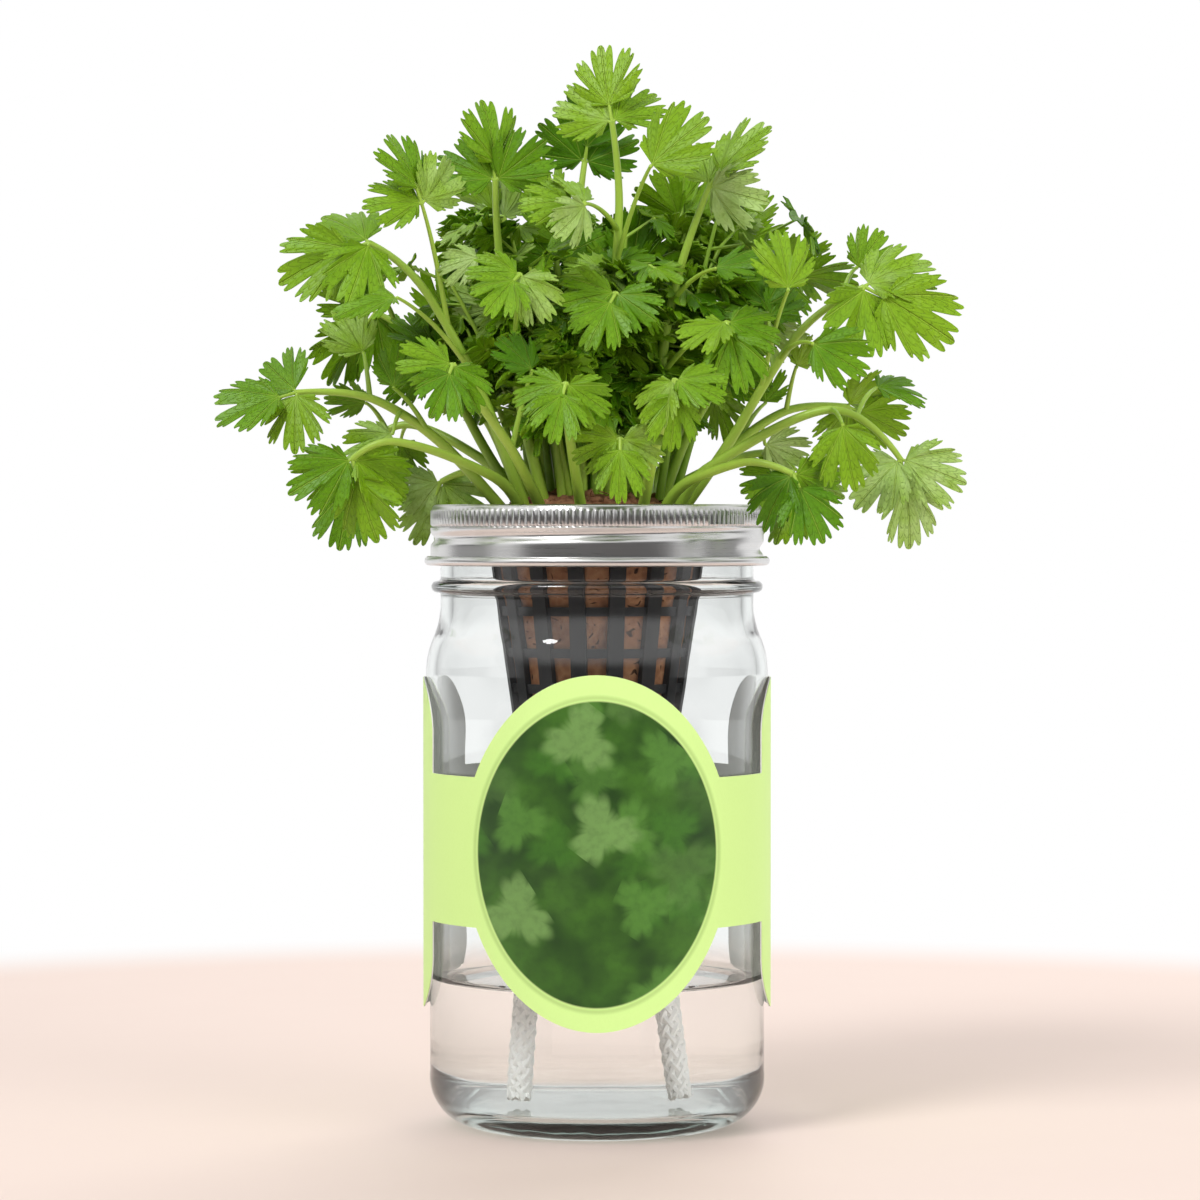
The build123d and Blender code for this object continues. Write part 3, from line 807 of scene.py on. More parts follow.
class Profile:
    """An outline of (radius, height) points, drawn with lines and arcs, to be spun about Z."""

    def __init__(self, start: Pair) -> None:
        """Starts at a point."""
        self.points = [Vector(start)]

    def line(self, *ends: Pair, step: float = 1.0) -> Profile:
        """Straight runs to the ends, with a point at each step of length."""
        for end in ends:
            start, stop = self.points[-1], Vector(end)
            count = max(1, round((stop - start).length / step))
            self.points += [start.lerp(stop, k / count) for k in range(1, count + 1)]
        return self

    def arc(self, end: Pair, heading: Pair, count: int = 10) -> Profile:
        """An arc that leaves along a heading and ends at a point.

        Args:
            end: Where it ends.
            heading: The direction in which it leaves.
            count: Its number of steps.

        Returns:
            The profile itself.
        """
        start, stop = self.points[-1], Vector(end)
        chord = stop - start
        ahead = Vector(heading).normalized()
        across = Vector((-ahead.y, ahead.x))
        radius = chord.length_squared / (2 * chord.dot(across))
        middle = start + across * radius
        first = start - middle
        sweep = 2 * atan2(chord.dot(across), chord.dot(ahead))
        for k in range(1, count + 1):
            turn = Matrix.Rotation(sweep * k / count, 2)
            self.points.append(middle + turn @ first)
        return self

    def sway(self, end: Pair, count: int = 8) -> Profile:
        """Two equal arcs to a point, upright at both ends."""
        start = self.points[-1]
        half = (start + Vector(end)) / 2
        heading = (0.0, 1.0 if end[1] > start.y else -1.0)
        self.arc(tuple(half), heading, count)
        back = Profile(end).arc(tuple(half), (0.0, -heading[1]), count)
        self.points += back.points[-2::-1]
        return self

    def spun(self, steps: int, closed: bool) -> bmesh.types.BMesh:
        """The outline turned full round about Z.

        Args:
            steps: The number of steps round.
            closed: Whether the outline's last point joins its first.

        Returns:
            A closed shell with its faces outwards.
        """
        bm = bmesh.new()
        verts = [bm.verts.new((point.x, 0.0, point.y)) for point in self.points]
        edges = [bm.edges.new(pair) for pair in zip(verts, verts[1:])]
        if closed:
            edges.append(bm.edges.new((verts[-1], verts[0])))
        bmesh.ops.spin(
            bm, geom=verts + edges, cent=(0, 0, 0), axis=(0, 0, 1), angle=2 * pi, steps=steps, use_merge=True,
        )
        bmesh.ops.remove_doubles(bm, verts=bm.verts[:], dist=1e-6)
        bmesh.ops.recalc_face_normals(bm, faces=bm.faces[:])
        return bm


@dataclass
class Jar:
    """The glass jar and the water in it."""

    neck_r: float = 0.0425
    mouth_r: float = 0.0390
    body_r: float = 0.0454
    shoulder_r: float = 0.0464
    foot_outer_r: float = 0.0340
    foot_inner_r: float = 0.0290
    foot_step: float = 0.0004
    foot_ease: float = 0.0012
    foot_flat: float = 0.0015
    push_up: float = 0.0022
    push_up_r: float = 0.0250
    heel_h: float = 0.015
    body_top: float = 0.108
    shoulder_z: float = 0.123
    neck_base: float = 0.1415
    rim_z: float = 0.1654
    rim_round: float = 0.001
    wall: float = 0.003
    floor_z: float = 0.007
    inner_heel: float = 0.009
    bead_z: float = 0.146
    bead_r: float = 0.0016
    bead_centre_r: float = 0.0434
    bead_fillet: float = 0.0006
    water_z: float = 0.040
    water_sink: float = 0.00006
    water_climb: float = 0.0014
    water_curve: float = 0.0030
    thread_z: float = 0.16269
    thread_pitch: float = 0.00508
    thread_half: float = 0.001495
    thread_height: float = 0.00165
    thread_turns: Pair = (-1.0, 0.08)
    steps: int = 192

    def build(self) -> None:
        """Makes the jar and its water."""
        keep(self.glass(), "jar_glass", "jar", [ClearGlass().make()], ["glass_jar"])
        keep(self.water(), "jar_water", "jar", [StillWater().make()], ["water_fill"])

    def outside(self) -> Profile:
        """The outer outline, from the middle of the push-up to the rim."""
        profile = Profile((0.0, self.push_up))
        profile.line((self.push_up_r, self.push_up), step=0.006)
        profile.arc((self.foot_inner_r, self.foot_step), (1.0, 0.0), 5)
        profile.arc((self.foot_inner_r + self.foot_ease, 0.0), (0.8, -0.6), 3)
        profile.line((self.foot_outer_r - self.foot_flat, 0.0))
        profile.arc((self.body_r, self.heel_h), (1.0, 0.0), 18)
        profile.line((self.body_r, self.body_top), step=0.006)
        profile.sway((self.shoulder_r, self.shoulder_z))
        profile.sway((self.neck_r, self.neck_base), 12)
        profile.line((self.neck_r, self.bead_z - self.bead_r - self.bead_fillet), step=0.0008)
        profile.arc((self.bead_centre_r, self.bead_z - self.bead_r), (0.0, 1.0), 4)
        profile.arc((self.bead_centre_r, self.bead_z + self.bead_r), (1.0, 0.0), 12)
        profile.arc((self.neck_r, self.bead_z + self.bead_r + self.bead_fillet), (-1.0, 0.0), 4)
        profile.line((self.neck_r, self.rim_z - self.rim_round), step=0.0004)
        profile.arc((self.neck_r - self.rim_round, self.rim_z), (0.0, 1.0), 5)
        return profile

    def glass(self) -> bpy.types.Mesh:
        """The jar's shell, with its thread raised round the neck."""
        profile = self.outside()
        profile.line((self.mouth_r + self.rim_round, self.rim_z), step=0.0015)
        profile.arc((self.mouth_r, self.rim_z - self.rim_round), (-1.0, 0.0), 5)
        profile.line((self.mouth_r, self.neck_base), step=0.004)
        profile.sway((self.shoulder_r - self.wall, self.shoulder_z), 12)
        profile.sway((self.body_r - self.wall, self.body_top))
        profile.line((self.body_r - self.wall, self.floor_z + self.inner_heel), step=0.006)
        profile.arc((self.body_r - self.wall - self.inner_heel, self.floor_z), (0.0, -1.0), 12)
        profile.line((0.0, self.floor_z), step=0.008)
        bm = profile.spun(self.steps, closed=False)
        for vert in bm.verts:
            if vert.co.z > self.bead_z + 2 * self.bead_r and vert.co.xy.length > self.neck_r - self.rim_round:
                vert.co.xy *= 1 + self.thread_rise(vert.co) / self.neck_r
        return meshed(bm, 50.0)

    def thread_rise(self, spot: Vector) -> float:
        """How far the thread stands out of the neck at a point of it."""
        turn = (degrees(atan2(spot.y, spot.x)) + 90) / 360 % 1.0
        best = 0.0
        for lap in (-1, 0):
            share = turn + lap
            if self.thread_turns[0] <= share <= self.thread_turns[1]:
                off = (spot.z - self.thread_z - share * self.thread_pitch) / self.thread_half
                if abs(off) < 1:
                    best = max(best, self.thread_height * sqrt(1 - off * off))
        return best

    def water(self) -> bpy.types.Mesh:
        """The water, which wets the glass and climbs a little up the wall."""
        water_r = self.body_r - self.wall + self.water_sink
        low = self.floor_z - self.water_sink
        profile = Profile((0.0, low))
        profile.line((water_r - self.inner_heel, low), step=0.008)
        profile.arc((water_r, low + self.inner_heel), (1.0, 0.0), 12)
        profile.line((water_r, self.water_z + self.water_climb), step=0.005)
        profile.arc((water_r - self.water_curve, self.water_z), (-0.25, -1.0), 6)
        profile.line((0.0, self.water_z), step=0.008)
        return meshed(profile.spun(self.steps, closed=False), 50.0)


@dataclass
class ScrewBand:
    """The screw band of thin sheet: lip, knurled top, rolled thread and curled edge."""

    outer_r: float = 0.0452
    wall: float = 0.00045
    top_z: float = 0.16815
    lip_r: float = 0.0385
    corner_r: float = 0.0012
    flute_depth: float = 0.00045
    flute_end: float = 0.0005
    flutes: int = 150
    knurl_top: float = 0.16695
    knurl_low: float = 0.16235
    curl_r: float = 0.00125
    curl_centre_r: float = 0.0456
    curl_z: float = 0.1530
    roll_z: float = 0.16015
    roll_half: float = 0.0021
    roll_depth: float = 0.0011
    roll_turns: Pair = (-0.85, 0.2)
    roll_ease: float = 0.08
    pitch: float = 0.00508

    def build(self) -> None:
        """Makes the band in place of its solid."""
        bm = self.outline().spun(4 * self.flutes, closed=True)
        for vert in bm.verts:
            out = vert.co.xy.length
            vert.co.xy *= (out + self.flute_rise(vert.co, out) - self.roll_sink(vert.co)) / out
        tinplate = BrightTinplate().make()
        keep(meshed(bm, 35.0), "band_tinplate", "band", [tinplate], ["screw_band"])

    def outline(self) -> Profile:
        """The closed outline of the sheet, from the lip over the outside to the curl and back inside."""
        valley = self.outer_r - self.flute_depth
        inner = self.outer_r - self.wall
        inner_corner = self.corner_r - self.wall
        step_z = self.knurl_low - self.flute_depth
        curl_top = self.curl_z + sqrt(self.curl_r**2 - (self.curl_centre_r - self.outer_r) ** 2)
        curl_end = self.curl_z + sqrt(self.curl_r**2 - (self.curl_centre_r - inner) ** 2)
        profile = Profile((self.lip_r, self.top_z - self.wall))
        profile.line((self.lip_r, self.top_z), (valley - self.corner_r, self.top_z), step=0.002)
        profile.arc((valley, self.knurl_top), (1.0, 0.0), 5)
        profile.line((valley, self.knurl_top - self.flute_end), step=0.001)
        profile.line((valley, self.knurl_low + self.flute_end), step=0.002)
        profile.line((valley, self.knurl_low), (self.outer_r, step_z), step=0.001)
        profile.line((self.outer_r, curl_top), step=0.0004)
        profile.arc((self.curl_centre_r + self.curl_r, self.curl_z), (0.947, 0.32), 8)
        profile.arc((self.curl_centre_r, self.curl_z - self.curl_r), (0.0, -1.0), 6)
        profile.arc((self.curl_centre_r - self.curl_r, self.curl_z), (-1.0, 0.0), 6)
        profile.arc((inner, curl_end), (0.0, 1.0), 3)
        profile.line((inner, step_z), step=0.0004)
        profile.line((valley - self.wall, self.knurl_low), (valley - self.wall, self.knurl_top), step=0.002)
        profile.arc((valley - self.wall - inner_corner, self.top_z - self.wall), (0.0, 1.0), 4)
        profile.line((self.lip_r + 0.001, self.top_z - self.wall), step=0.002)
        return profile

    def flute_rise(self, spot: Vector, out: float) -> float:
        """How far a flute stands out of the knurl's valley at a point of the band."""
        inside = self.knurl_low + self.flute_end / 2 < spot.z < self.knurl_top - self.flute_end / 2
        if not inside or out < self.outer_r - self.flute_depth - self.wall / 2:
            return 0.0
        phase = atan2(spot.y, spot.x) / (2 * pi) * self.flutes % 1.0
        return self.flute_depth * sqrt(max(0.0, 1 - (2 * phase - 1) ** 2))

    def roll_sink(self, spot: Vector) -> float:
        """How far the rolled thread sinks the skirt at a point of the band."""
        turn = (degrees(atan2(spot.y, spot.x)) + 90) / 360 % 1.0
        first, last = self.roll_turns
        sink = 0.0
        for lap in (-1, 0):
            share = turn + lap
            ease = held((share - first) / self.roll_ease) * held((last - share) / self.roll_ease)
            off = (spot.z - self.roll_z - share * self.pitch) / self.roll_half
            if abs(off) < 1 and self.curl_z + self.curl_r < spot.z < self.knurl_low:
                sink = max(sink, self.roll_depth * ease * cos(pi / 2 * off) ** 2)
        return sink


@dataclass
class CarriedParts:
    """The solids of the frame that keep their shapes and get their finishes here."""

    def dress(self) -> None:
        """Gives each kept node its material."""
        finishes = {
            "label_sleeve": PrintedCard().make(),
            "lid_insert": BlackPlastic("insert_plastic").make(),
            "net_cup": BlackPlastic("cup_plastic").make(),
        }
        for node, finish in finishes.items():
            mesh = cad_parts[node].data
            mesh.materials.clear()
            mesh.materials.append(finish)
            LOG.info("%s: dressed", node)


@dataclass
class CoirPlug:
    """The pressed coir in the cup, with a loose crumbled mound on top."""

    low_z: float = 0.0949
    low_r: float = 0.0187
    seat_z: float = 0.16495
    top_r: float = 0.0287
    mound: float = 0.0062
    roughness: float = 0.0009
    lumps: int = 170
    lump_r: Pair = (0.0009, 0.0026)
    lump_uneven: float = 0.22
    fibres: int = 90
    fibre_length: float = 0.006
    fibre_sag: float = 0.0015
    fibre_r: float = 0.00016
    seed: int = 11

    def build(self) -> None:
        """Makes the plug, its crumbs and its fibres as one piece."""
        rng = random.Random(self.seed)
        profile = Profile((0.0, self.low_z))
        profile.line((self.low_r, self.low_z), (self.top_r, self.seat_z), step=0.0022)
        profile.arc((0.0, self.seat_z + self.mound), (-0.9, 0.45), 14)
        bm = profile.spun(96, closed=False)
        for vert in bm.verts:
            above = held((vert.co.z - self.seat_z + 0.002) / 0.003)
            rough = noise.noise(vert.co * 420) * 0.6 + noise.noise(vert.co * 900) * 0.4
            vert.co += vert.normal * rough * self.roughness * (0.35 + 1.1 * above)
        for _ in range(self.lumps):
            self.add_lump(bm, rng)
        for _ in range(self.fibres):
            self.add_fibre(bm, rng)
        keep(meshed(bm, 70.0), "coir_mound", "basket", [PressedCoir().make()], ["coir_plug"])

    def mound_point(self, rng: random.Random) -> Vector:
        """A random point on the mound's top."""
        out = self.top_r * sqrt(rng.random()) * 0.96
        angle = rng.uniform(0, 2 * pi)
        height = self.seat_z + self.mound * (1 - (out / self.top_r) ** 2)
        return Vector((out * cos(angle), out * sin(angle), height))

    def add_lump(self, bm: bmesh.types.BMesh, rng: random.Random) -> None:
        """One crumb, an uneven many-sided lump half sunk in the mound."""
        size = rng.uniform(*self.lump_r)
        angle = rng.uniform(0, pi)
        turn = Matrix.Rotation(angle, 4, Vector((rng.random(), rng.random(), rng.random() + 0.1)))
        shape = Matrix.Diagonal((rng.uniform(0.7, 1.5), rng.uniform(0.6, 1.0), rng.uniform(0.5, 0.9), 1.0))
        matrix = Matrix.Translation(self.mound_point(rng)) @ turn @ shape
        verts = bmesh.ops.create_icosphere(bm, subdivisions=1, radius=size, matrix=matrix)["verts"]
        for vert in verts:
            shift = Vector((rng.uniform(-1, 1), rng.uniform(-1, 1), rng.uniform(-1, 1)))
            vert.co += shift * size * self.lump_uneven

    def add_fibre(self, bm: bmesh.types.BMesh, rng: random.Random) -> None:
        """One loose fibre that lies over the mound."""
        start = self.mound_point(rng)
        heading = Vector((rng.uniform(-1, 1), rng.uniform(-1, 1), rng.uniform(-0.1, 0.35)))
        run = heading * self.fibre_length
        sag = Vector((rng.uniform(-1, 1), rng.uniform(-1, 1), 0.5)) * self.fibre_sag
        points = [start, start + run * 0.5 + sag, start + run]
        bm.from_mesh(curve_mesh(points, [self.fibre_r] * len(points), 0, 4))


@dataclass
class LeafForm:
    """The form of a leaf blade: a toothed fan of lobes, from its heart along +X.

    Notches are (angle, depth, width) and the outline is (angle, reach), for either side of the axis. Angles and
    widths are in degrees, depths and reaches are shares of the length.
    """

    across: int
    along: int
    notches: tuple[Triple, ...] = (
        (5.0, 0.06, 1.4), (15.5, 0.39, 3.4), (24.0, 0.07, 1.5), (31.0, 0.07, 1.5), (40.5, 0.41, 3.9),
        (50.0, 0.08, 1.8), (57.0, 0.09, 2.0), (66.0, 0.29, 3.4), (75.0, 0.08, 2.2),
    )
    outline: tuple[Pair, ...] = (
        (0, 1.0), (9, 0.99), (18, 0.98), (27, 0.95), (36, 0.89), (44, 0.82),
        (52, 0.73), (60, 0.60), (70, 0.44), (80, 0.31), (90, 0.25),
    )
    scallop: float = 0.11
    half_span: float = 84.0
    thickness: float = 0.00028
    most_lean: float = 0.16
    lean_shift: float = 6.0
    cups: Pair = (0.10, 0.36)
    folds: Pair = (0.0, 0.28)
    bites: Pair = (0.85, 1.2)
    ripple: float = 0.05
    ripples: float = 8.0

    def edge(self, turn: float, lean: float, bite: float) -> float:
        """Reach of the blade's edge at an angle, as a share of its length.

        Args:
            turn: The angle from the blade's axis, in degrees.
            lean: How much longer one side is than the other.
            bite: How deep its notches are, about 1.

        Returns:
            The reach.
        """
        off = abs(turn)
        reach = self.outline[-1][1]
        for (first, high), (last, low) in zip(self.outline, self.outline[1:]):
            if first <= off < last:
                reach = high + (low - high) * (off - first) / (last - first)
        place = off + self.lean_shift * lean * (1 if turn > 0 else -1)
        for middle, depth, width in self.notches:
            reach *= 1 - bite * depth * exp(-(((place - middle) / width) ** 2))
        marks = [middle for middle, _, _ in self.notches]
        for first, last in zip([-marks[0], *marks], [*marks, 2 * self.half_span - marks[-1]]):
            if first <= place < last:
                aside = 2 * (place - first) / (last - first) - 1
                reach *= 1 - self.scallop * (1 - sqrt(1 - aside * aside))
        return reach * (1 + lean * turn / self.half_span)

    def add(
        self, bm: bmesh.types.BMesh, place: Matrix, length: float, rng: random.Random, tone: float,
    ) -> None:
        """Adds one blade to a bmesh.

        Args:
            bm: The bmesh, with its uv and tone layers.
            place: The heart, axis and facing of the blade.
            length: Its length.
            rng: The source of its small differences.
            tone: How light it is, from 0 to 1.
        """
        uv = bm.loops.layers.uv["UVMap"]
        tones = bm.verts.layers.float["tone"]
        verts = bmesh.ops.create_grid(bm, x_segments=self.across, y_segments=self.along, size=0.5)["verts"]
        lean = rng.uniform(-self.most_lean, self.most_lean)
        cup, fold = rng.uniform(*self.cups), rng.uniform(*self.folds)
        phase, bite = rng.uniform(0, 2 * pi), rng.uniform(*self.bites)
        faces = list({face for vert in verts for face in vert.link_faces})
        for face in faces:
            face.material_index = 1
            for loop in face.loops:
                loop[uv].uv = (loop.vert.co.x + 0.5, loop.vert.co.y + 0.5)
        hearts = [vert for vert in verts if vert.co.y < -0.499]
        for vert in verts:
            turn = vert.co.x * 2 * self.half_span
            out = vert.co.y + 0.5
            reach = self.edge(turn, lean, bite) * out
            side = sin(radians(turn))
            lift = fold * abs(side) * reach - cup * reach * reach
            lift += self.ripple * out * out * sin(radians(turn) * self.ripples + phase)
            vert.co = place @ (Vector((reach * cos(radians(turn)), reach * side, lift)) * length)
            vert[tones] = tone
        bmesh.ops.remove_doubles(bm, verts=hearts, dist=1e-7)
        faces = [face for face in faces if face.is_valid]
        bmesh.ops.solidify(bm, geom=faces, thickness=self.thickness)


@dataclass(frozen=True)
class LeafPlan:
    """A leaf: where its stalk starts as a share of the stem, its heart and middle tip, its number of blades."""

    share: float
    heart: Triple
    tip: Triple
    blades: int


@dataclass(frozen=True)
class StemPlan:
    """A stem: its foot in the coir, the points of its route above, and its leaves. Millimetres."""

    name: str
    route: tuple[Triple, ...]
    leaves: tuple[LeafPlan, ...]


ROOT_Z = 160.0
FAN_LOW_Z = 168.0
FAN_RISE = 27.0
DEPTH_FAN = 0.6


def fanned(point: Triple) -> Vector:
    """A point of the plan, moved out from the middle plane with its height."""
    spot = Vector(point)
    spot.y *= 1 + DEPTH_FAN * held((spot.z - FAN_LOW_Z) / FAN_RISE)
    return spot


class Side(Enum):
    """The two sets of stems: the front ones, and the back ones turned from them.

    Each has the start of its node names, its turn in degrees, and its spread and height as shares.
    """

    FRONT = ("stem_", 0.0, 1.0, 1.0)
    BACK = ("back_stem_", 180.0, 0.86, 0.93)

    @property
    def prefix(self) -> str:
        """The start of the set's node names."""
        return self.value[0]

    def carried(self, spot: Vector) -> Vector:
        """A fanned point of the plan at its place in the frame, in metres."""
        _, turn, spread, height = self.value
        c, s = cos(radians(turn)) * spread, sin(radians(turn)) * spread
        rise = (spot.z - ROOT_Z) * height
        return Vector((spot.x * c - spot.y * s, spot.x * s + spot.y * c, ROOT_Z + rise)) * MM

    def facing(self) -> Vector:
        """The way that the set's leaves face."""
        return Matrix.Rotation(radians(self.value[1]), 3, "Z") @ Vector((0.0, -0.85, 0.53))


STEM_PLANS = (
    StemPlan(
        "tall_centre",
        ((3, -6, 160), (4, -8, 197), (5, -9, 232), (6.5, -10, 254), (4, -11, 270)),
        (
            LeafPlan(1.0, (4, -11, 270), (0, -13, 291), 3),
            LeafPlan(0.66, (14, -19, 257), (28, -23, 271), 1),
            LeafPlan(0.74, (-3, -22, 247), (-18, -29, 251), 3),
            LeafPlan(0.42, (5, -18, 224), (0, -31, 211), 3),
            LeafPlan(0.15, (6, -41, 185), (6, -50, 171), 3),
        ),
    ),
    StemPlan(
        "left_upright",
        ((-12, -6, 160), (-20, -9, 190), (-23.5, -10, 215), (-27, -12, 240), (-27, -15, 254)),
        (
            LeafPlan(1.0, (-27, -15, 254), (-29, -18, 275), 3),
            LeafPlan(0.70, (-31, -20, 233), (-42, -23, 230), 1),
            LeafPlan(0.50, (-20, -27, 228), (-29, -38, 216), 3),
        ),
    ),
    StemPlan(
        "left_upper",
        ((-17, -9, 160), (-27, -13, 190), (-38, -16, 213), (-50, -18, 232), (-60, -20, 237)),
        (
            LeafPlan(1.0, (-60, -20, 237), (-84, -24, 232), 3),
            LeafPlan(0.66, (-46, -22, 247), (-55, -25, 264), 3),
            LeafPlan(0.52, (-52, -25, 222), (-68, -29, 214), 1),
        ),
    ),
    StemPlan(
        "left_arching",
        ((-20, -4, 160), (-36, -6, 180), (-52, -8, 193), (-66, -10, 199), (-80, -12, 198)),
        (
            LeafPlan(1.0, (-80, -12, 198), (-101, -16, 191), 3),
            LeafPlan(0.74, (-63, -3, 209), (-71, -1, 221), 1),
            LeafPlan(0.50, (-54, -14, 199), (-55, -16, 211), 1),
            LeafPlan(0.62, (-54, -19, 187), (-67, -24, 181), 1),
        ),
    ),
    StemPlan(
        "left_low",
        (
            (-18, -15, 160), (-21, -17, 172), (-34, -23, 179),
            (-48, -28, 184), (-58, -30, 185), (-64, -31, 180),
        ),
        (LeafPlan(1.0, (-64, -31, 180), (-63, -36, 157), 3),),
    ),
    StemPlan(
        "right_upright",
        ((10, -5, 160), (16, -8, 195), (19, -9, 220), (25, -11, 241), (30, -12, 253)),
        (
            LeafPlan(1.0, (30, -12, 253), (46, -15, 267), 3),
            LeafPlan(0.66, (31, -21, 230), (44, -24, 233), 1),
            LeafPlan(0.45, (34, -22, 216), (38, -35, 201), 3),
        ),
    ),
    StemPlan(
        "right_arching",
        ((18, -7, 160), (33, -10, 180), (46, -12, 203), (58, -13, 220), (71, -14, 226)),
        (
            LeafPlan(1.0, (71, -14, 226), (93, -18, 211), 3),
            LeafPlan(0.55, (50, -24, 224), (48, -27, 241), 1),
            LeafPlan(0.92, (70, -3, 232), (77, -1, 244), 1),
            LeafPlan(0.66, (56, -27, 210), (69, -33, 202), 1),
            LeafPlan(0.62, (46, -8, 218), (42, -9, 234), 3),
        ),
    ),
    StemPlan(
        "right_low",
        (
            (20, -12.5, 160), (22.5, -14, 173), (36, -18, 182), (52, -21, 191),
            (64, -22, 194), (75, -24, 187), (80, -25, 180),
        ),
        (
            LeafPlan(1.0, (80, -25, 180), (86, -28, 157), 3),
            LeafPlan(0.72, (64, -30, 189), (68, -35, 173), 1),
            LeafPlan(0.80, (74, -14, 199), (88, -14, 202), 1),
        ),
    ),
    StemPlan(
        "right_lowest",
        ((16, -15, 160), (18.5, -18.5, 172), (33, -26, 178), (43, -34, 180), (51, -38, 176)),
        (LeafPlan(1.0, (51, -38, 176), (56, -43, 157), 3),),
    ),
    StemPlan(
        "front_left",
        ((-12, -15, 160), (-19, -26, 178), (-31, -33, 195), (-37, -36, 204)),
        (
            LeafPlan(1.0, (-37, -36, 204), (-44, -45, 190), 3),
            LeafPlan(0.50, (-17, -24, 203), (-22, -26, 214), 1),
        ),
    ),
    StemPlan(
        "front_centre",
        ((-3, -20, 160), (-6, -29, 178), (-8, -35, 192), (-8, -38, 199)),
        (LeafPlan(1.0, (-8, -38, 199), (-11, -48, 185), 3),),
    ),
    StemPlan(
        "front_right",
        ((11, -18, 160), (14, -27, 178), (18, -34, 192), (20, -37, 200)),
        (LeafPlan(1.0, (20, -37, 200), (22, -47, 185), 3),),
    ),
    StemPlan(
        "inner_near",
        ((-5, 0, 160), (-6, -0.5, 190), (-8, -1, 214), (-11, -2, 234)),
        (
            LeafPlan(1.0, (-11, -2, 234), (-12, -5, 255), 3),
            LeafPlan(0.55, (-9, -8, 212), (-13, -11, 200), 1),
        ),
    ),
    StemPlan(
        "inner_mid",
        ((-11, -0.5, 160), (-15, -0.5, 186), (-20, -1, 205), (-25, -1, 222)),
        (
            LeafPlan(1.0, (-25, -1, 222), (-31, -2, 240), 3),
            LeafPlan(0.60, (-24, 4, 206), (-33, 5, 203), 1),
        ),
    ),
    StemPlan(
        "inner_far",
        ((-17, 1, 160), (-25, 1, 183), (-34, 0.5, 198), (-41, 0, 208)),
        (LeafPlan(1.0, (-41, 0, 208), (-54, -1, 221), 3),),
    ),
)


def at_share(line: Sequence[Vector], share: float) -> Vector:
    """The point at a share of a line's length."""
    runs = [(b - a).length for a, b in zip(line, line[1:])]
    left = share * sum(runs)
    for run, a, b in zip(runs, line, line[1:]):
        if left <= run:
            return a.lerp(b, left / run)
        left -= run
    return line[-1].copy()


@dataclass
class Foliage:
    """Stems, stalks and leaves gathered into one mesh.

    The layouts give, for a leaf's number of blades, each blade's bearing, and its start and length as shares
    of the leaf's length.
    """

    form: LeafForm
    rng: random.Random
    layouts: dict[int, tuple[Triple, ...]] = field(default_factory=lambda: {
        1: ((0, 0.04, 0.96),),
        3: ((0, 0.22, 0.80), (-63, 0.05, 0.74), (63, 0.05, 0.74)),
    })
    swing: float = 8.0
    roll: float = 30.0
    droops: Pair = (-14.0, 20.0)
    shading: float = 0.25
    sizes: Pair = (0.94, 1.04)
    blade_stalk_r: Pair = (0.0006, 0.00045)
    blade_stalk_tone: float = 0.8
    bm: bmesh.types.BMesh = field(default_factory=bmesh.new)

    def __post_init__(self) -> None:
        """Adds the layers that the finishes read."""
        self.bm.loops.layers.uv.new("UVMap")
        self.bm.verts.layers.float.new("tone")

    def add_stalk(self, points: Sequence[Vector], taper: Pair, tone: float, sides: int = 2) -> None:
        """A round stalk that tapers along its points.

        Args:
            points: Its route.
            taper: The radii at its start and end.
            tone: How light it is, from 0 to 1.
            sides: The bevel resolution of its round.
        """
        thick, thin = taper
        last = len(points) - 1
        radii = [thick + (thin - thick) * k / last for k in range(len(points))]
        before = len(self.bm.verts)
        self.bm.from_mesh(curve_mesh(points, radii, sides, 6))
        self.bm.verts.ensure_lookup_table()
        tones = self.bm.verts.layers.float["tone"]
        for vert in self.bm.verts[before:]:
            vert[tones] = tone

    def add_leaf(self, heart: Vector, tip: Vector, facing: Vector, blades: int, tone: float) -> None:
        """A leaf of one blade, or of a middle blade and two at its sides.

        Args:
            heart: Where the blades meet.
            tip: The end of the middle blade.
            facing: The way that it faces, about.
            blades: 1 or 3.
            tone: How light it is, from 0 to 1.
        """
        axis = tip - heart
        along = axis.normalized()
        face = (facing - along * facing.dot(along)).normalized()
        base = Matrix((along, face.cross(along), face)).transposed().to_4x4()
        base.translation = heart
        for bearing, first, share in self.layouts[blades]:
            swing = Matrix.Rotation(radians(bearing + self.rng.uniform(-self.swing, self.swing)), 4, "Z")
            roll = Matrix.Rotation(radians(self.rng.uniform(-self.roll, self.roll)), 4, "X")
            droop = Matrix.Rotation(radians(self.rng.uniform(*self.droops)), 4, "Y")
            shade = held(tone + self.rng.uniform(-self.shading, self.shading))
            place = base @ swing @ roll @ droop
            start = place @ Vector((axis.length * first, 0.0, 0.0))
            route = (heart, heart.lerp(start, 0.6), start)
            self.add_stalk(route, self.blade_stalk_r, self.blade_stalk_tone, 1)
            place.translation = start
            length = axis.length * share * self.rng.uniform(*self.sizes)
            self.form.add(self.bm, place, length, self.rng, shade)

    def kept(self, name: str, finishes: Sequence[bpy.types.Material], replaces: Sequence[str] = ()) -> None:
        """Ends the foliage as a piece on the basket."""
        keep(meshed(self.bm, 60.0), name, "basket", finishes, replaces)


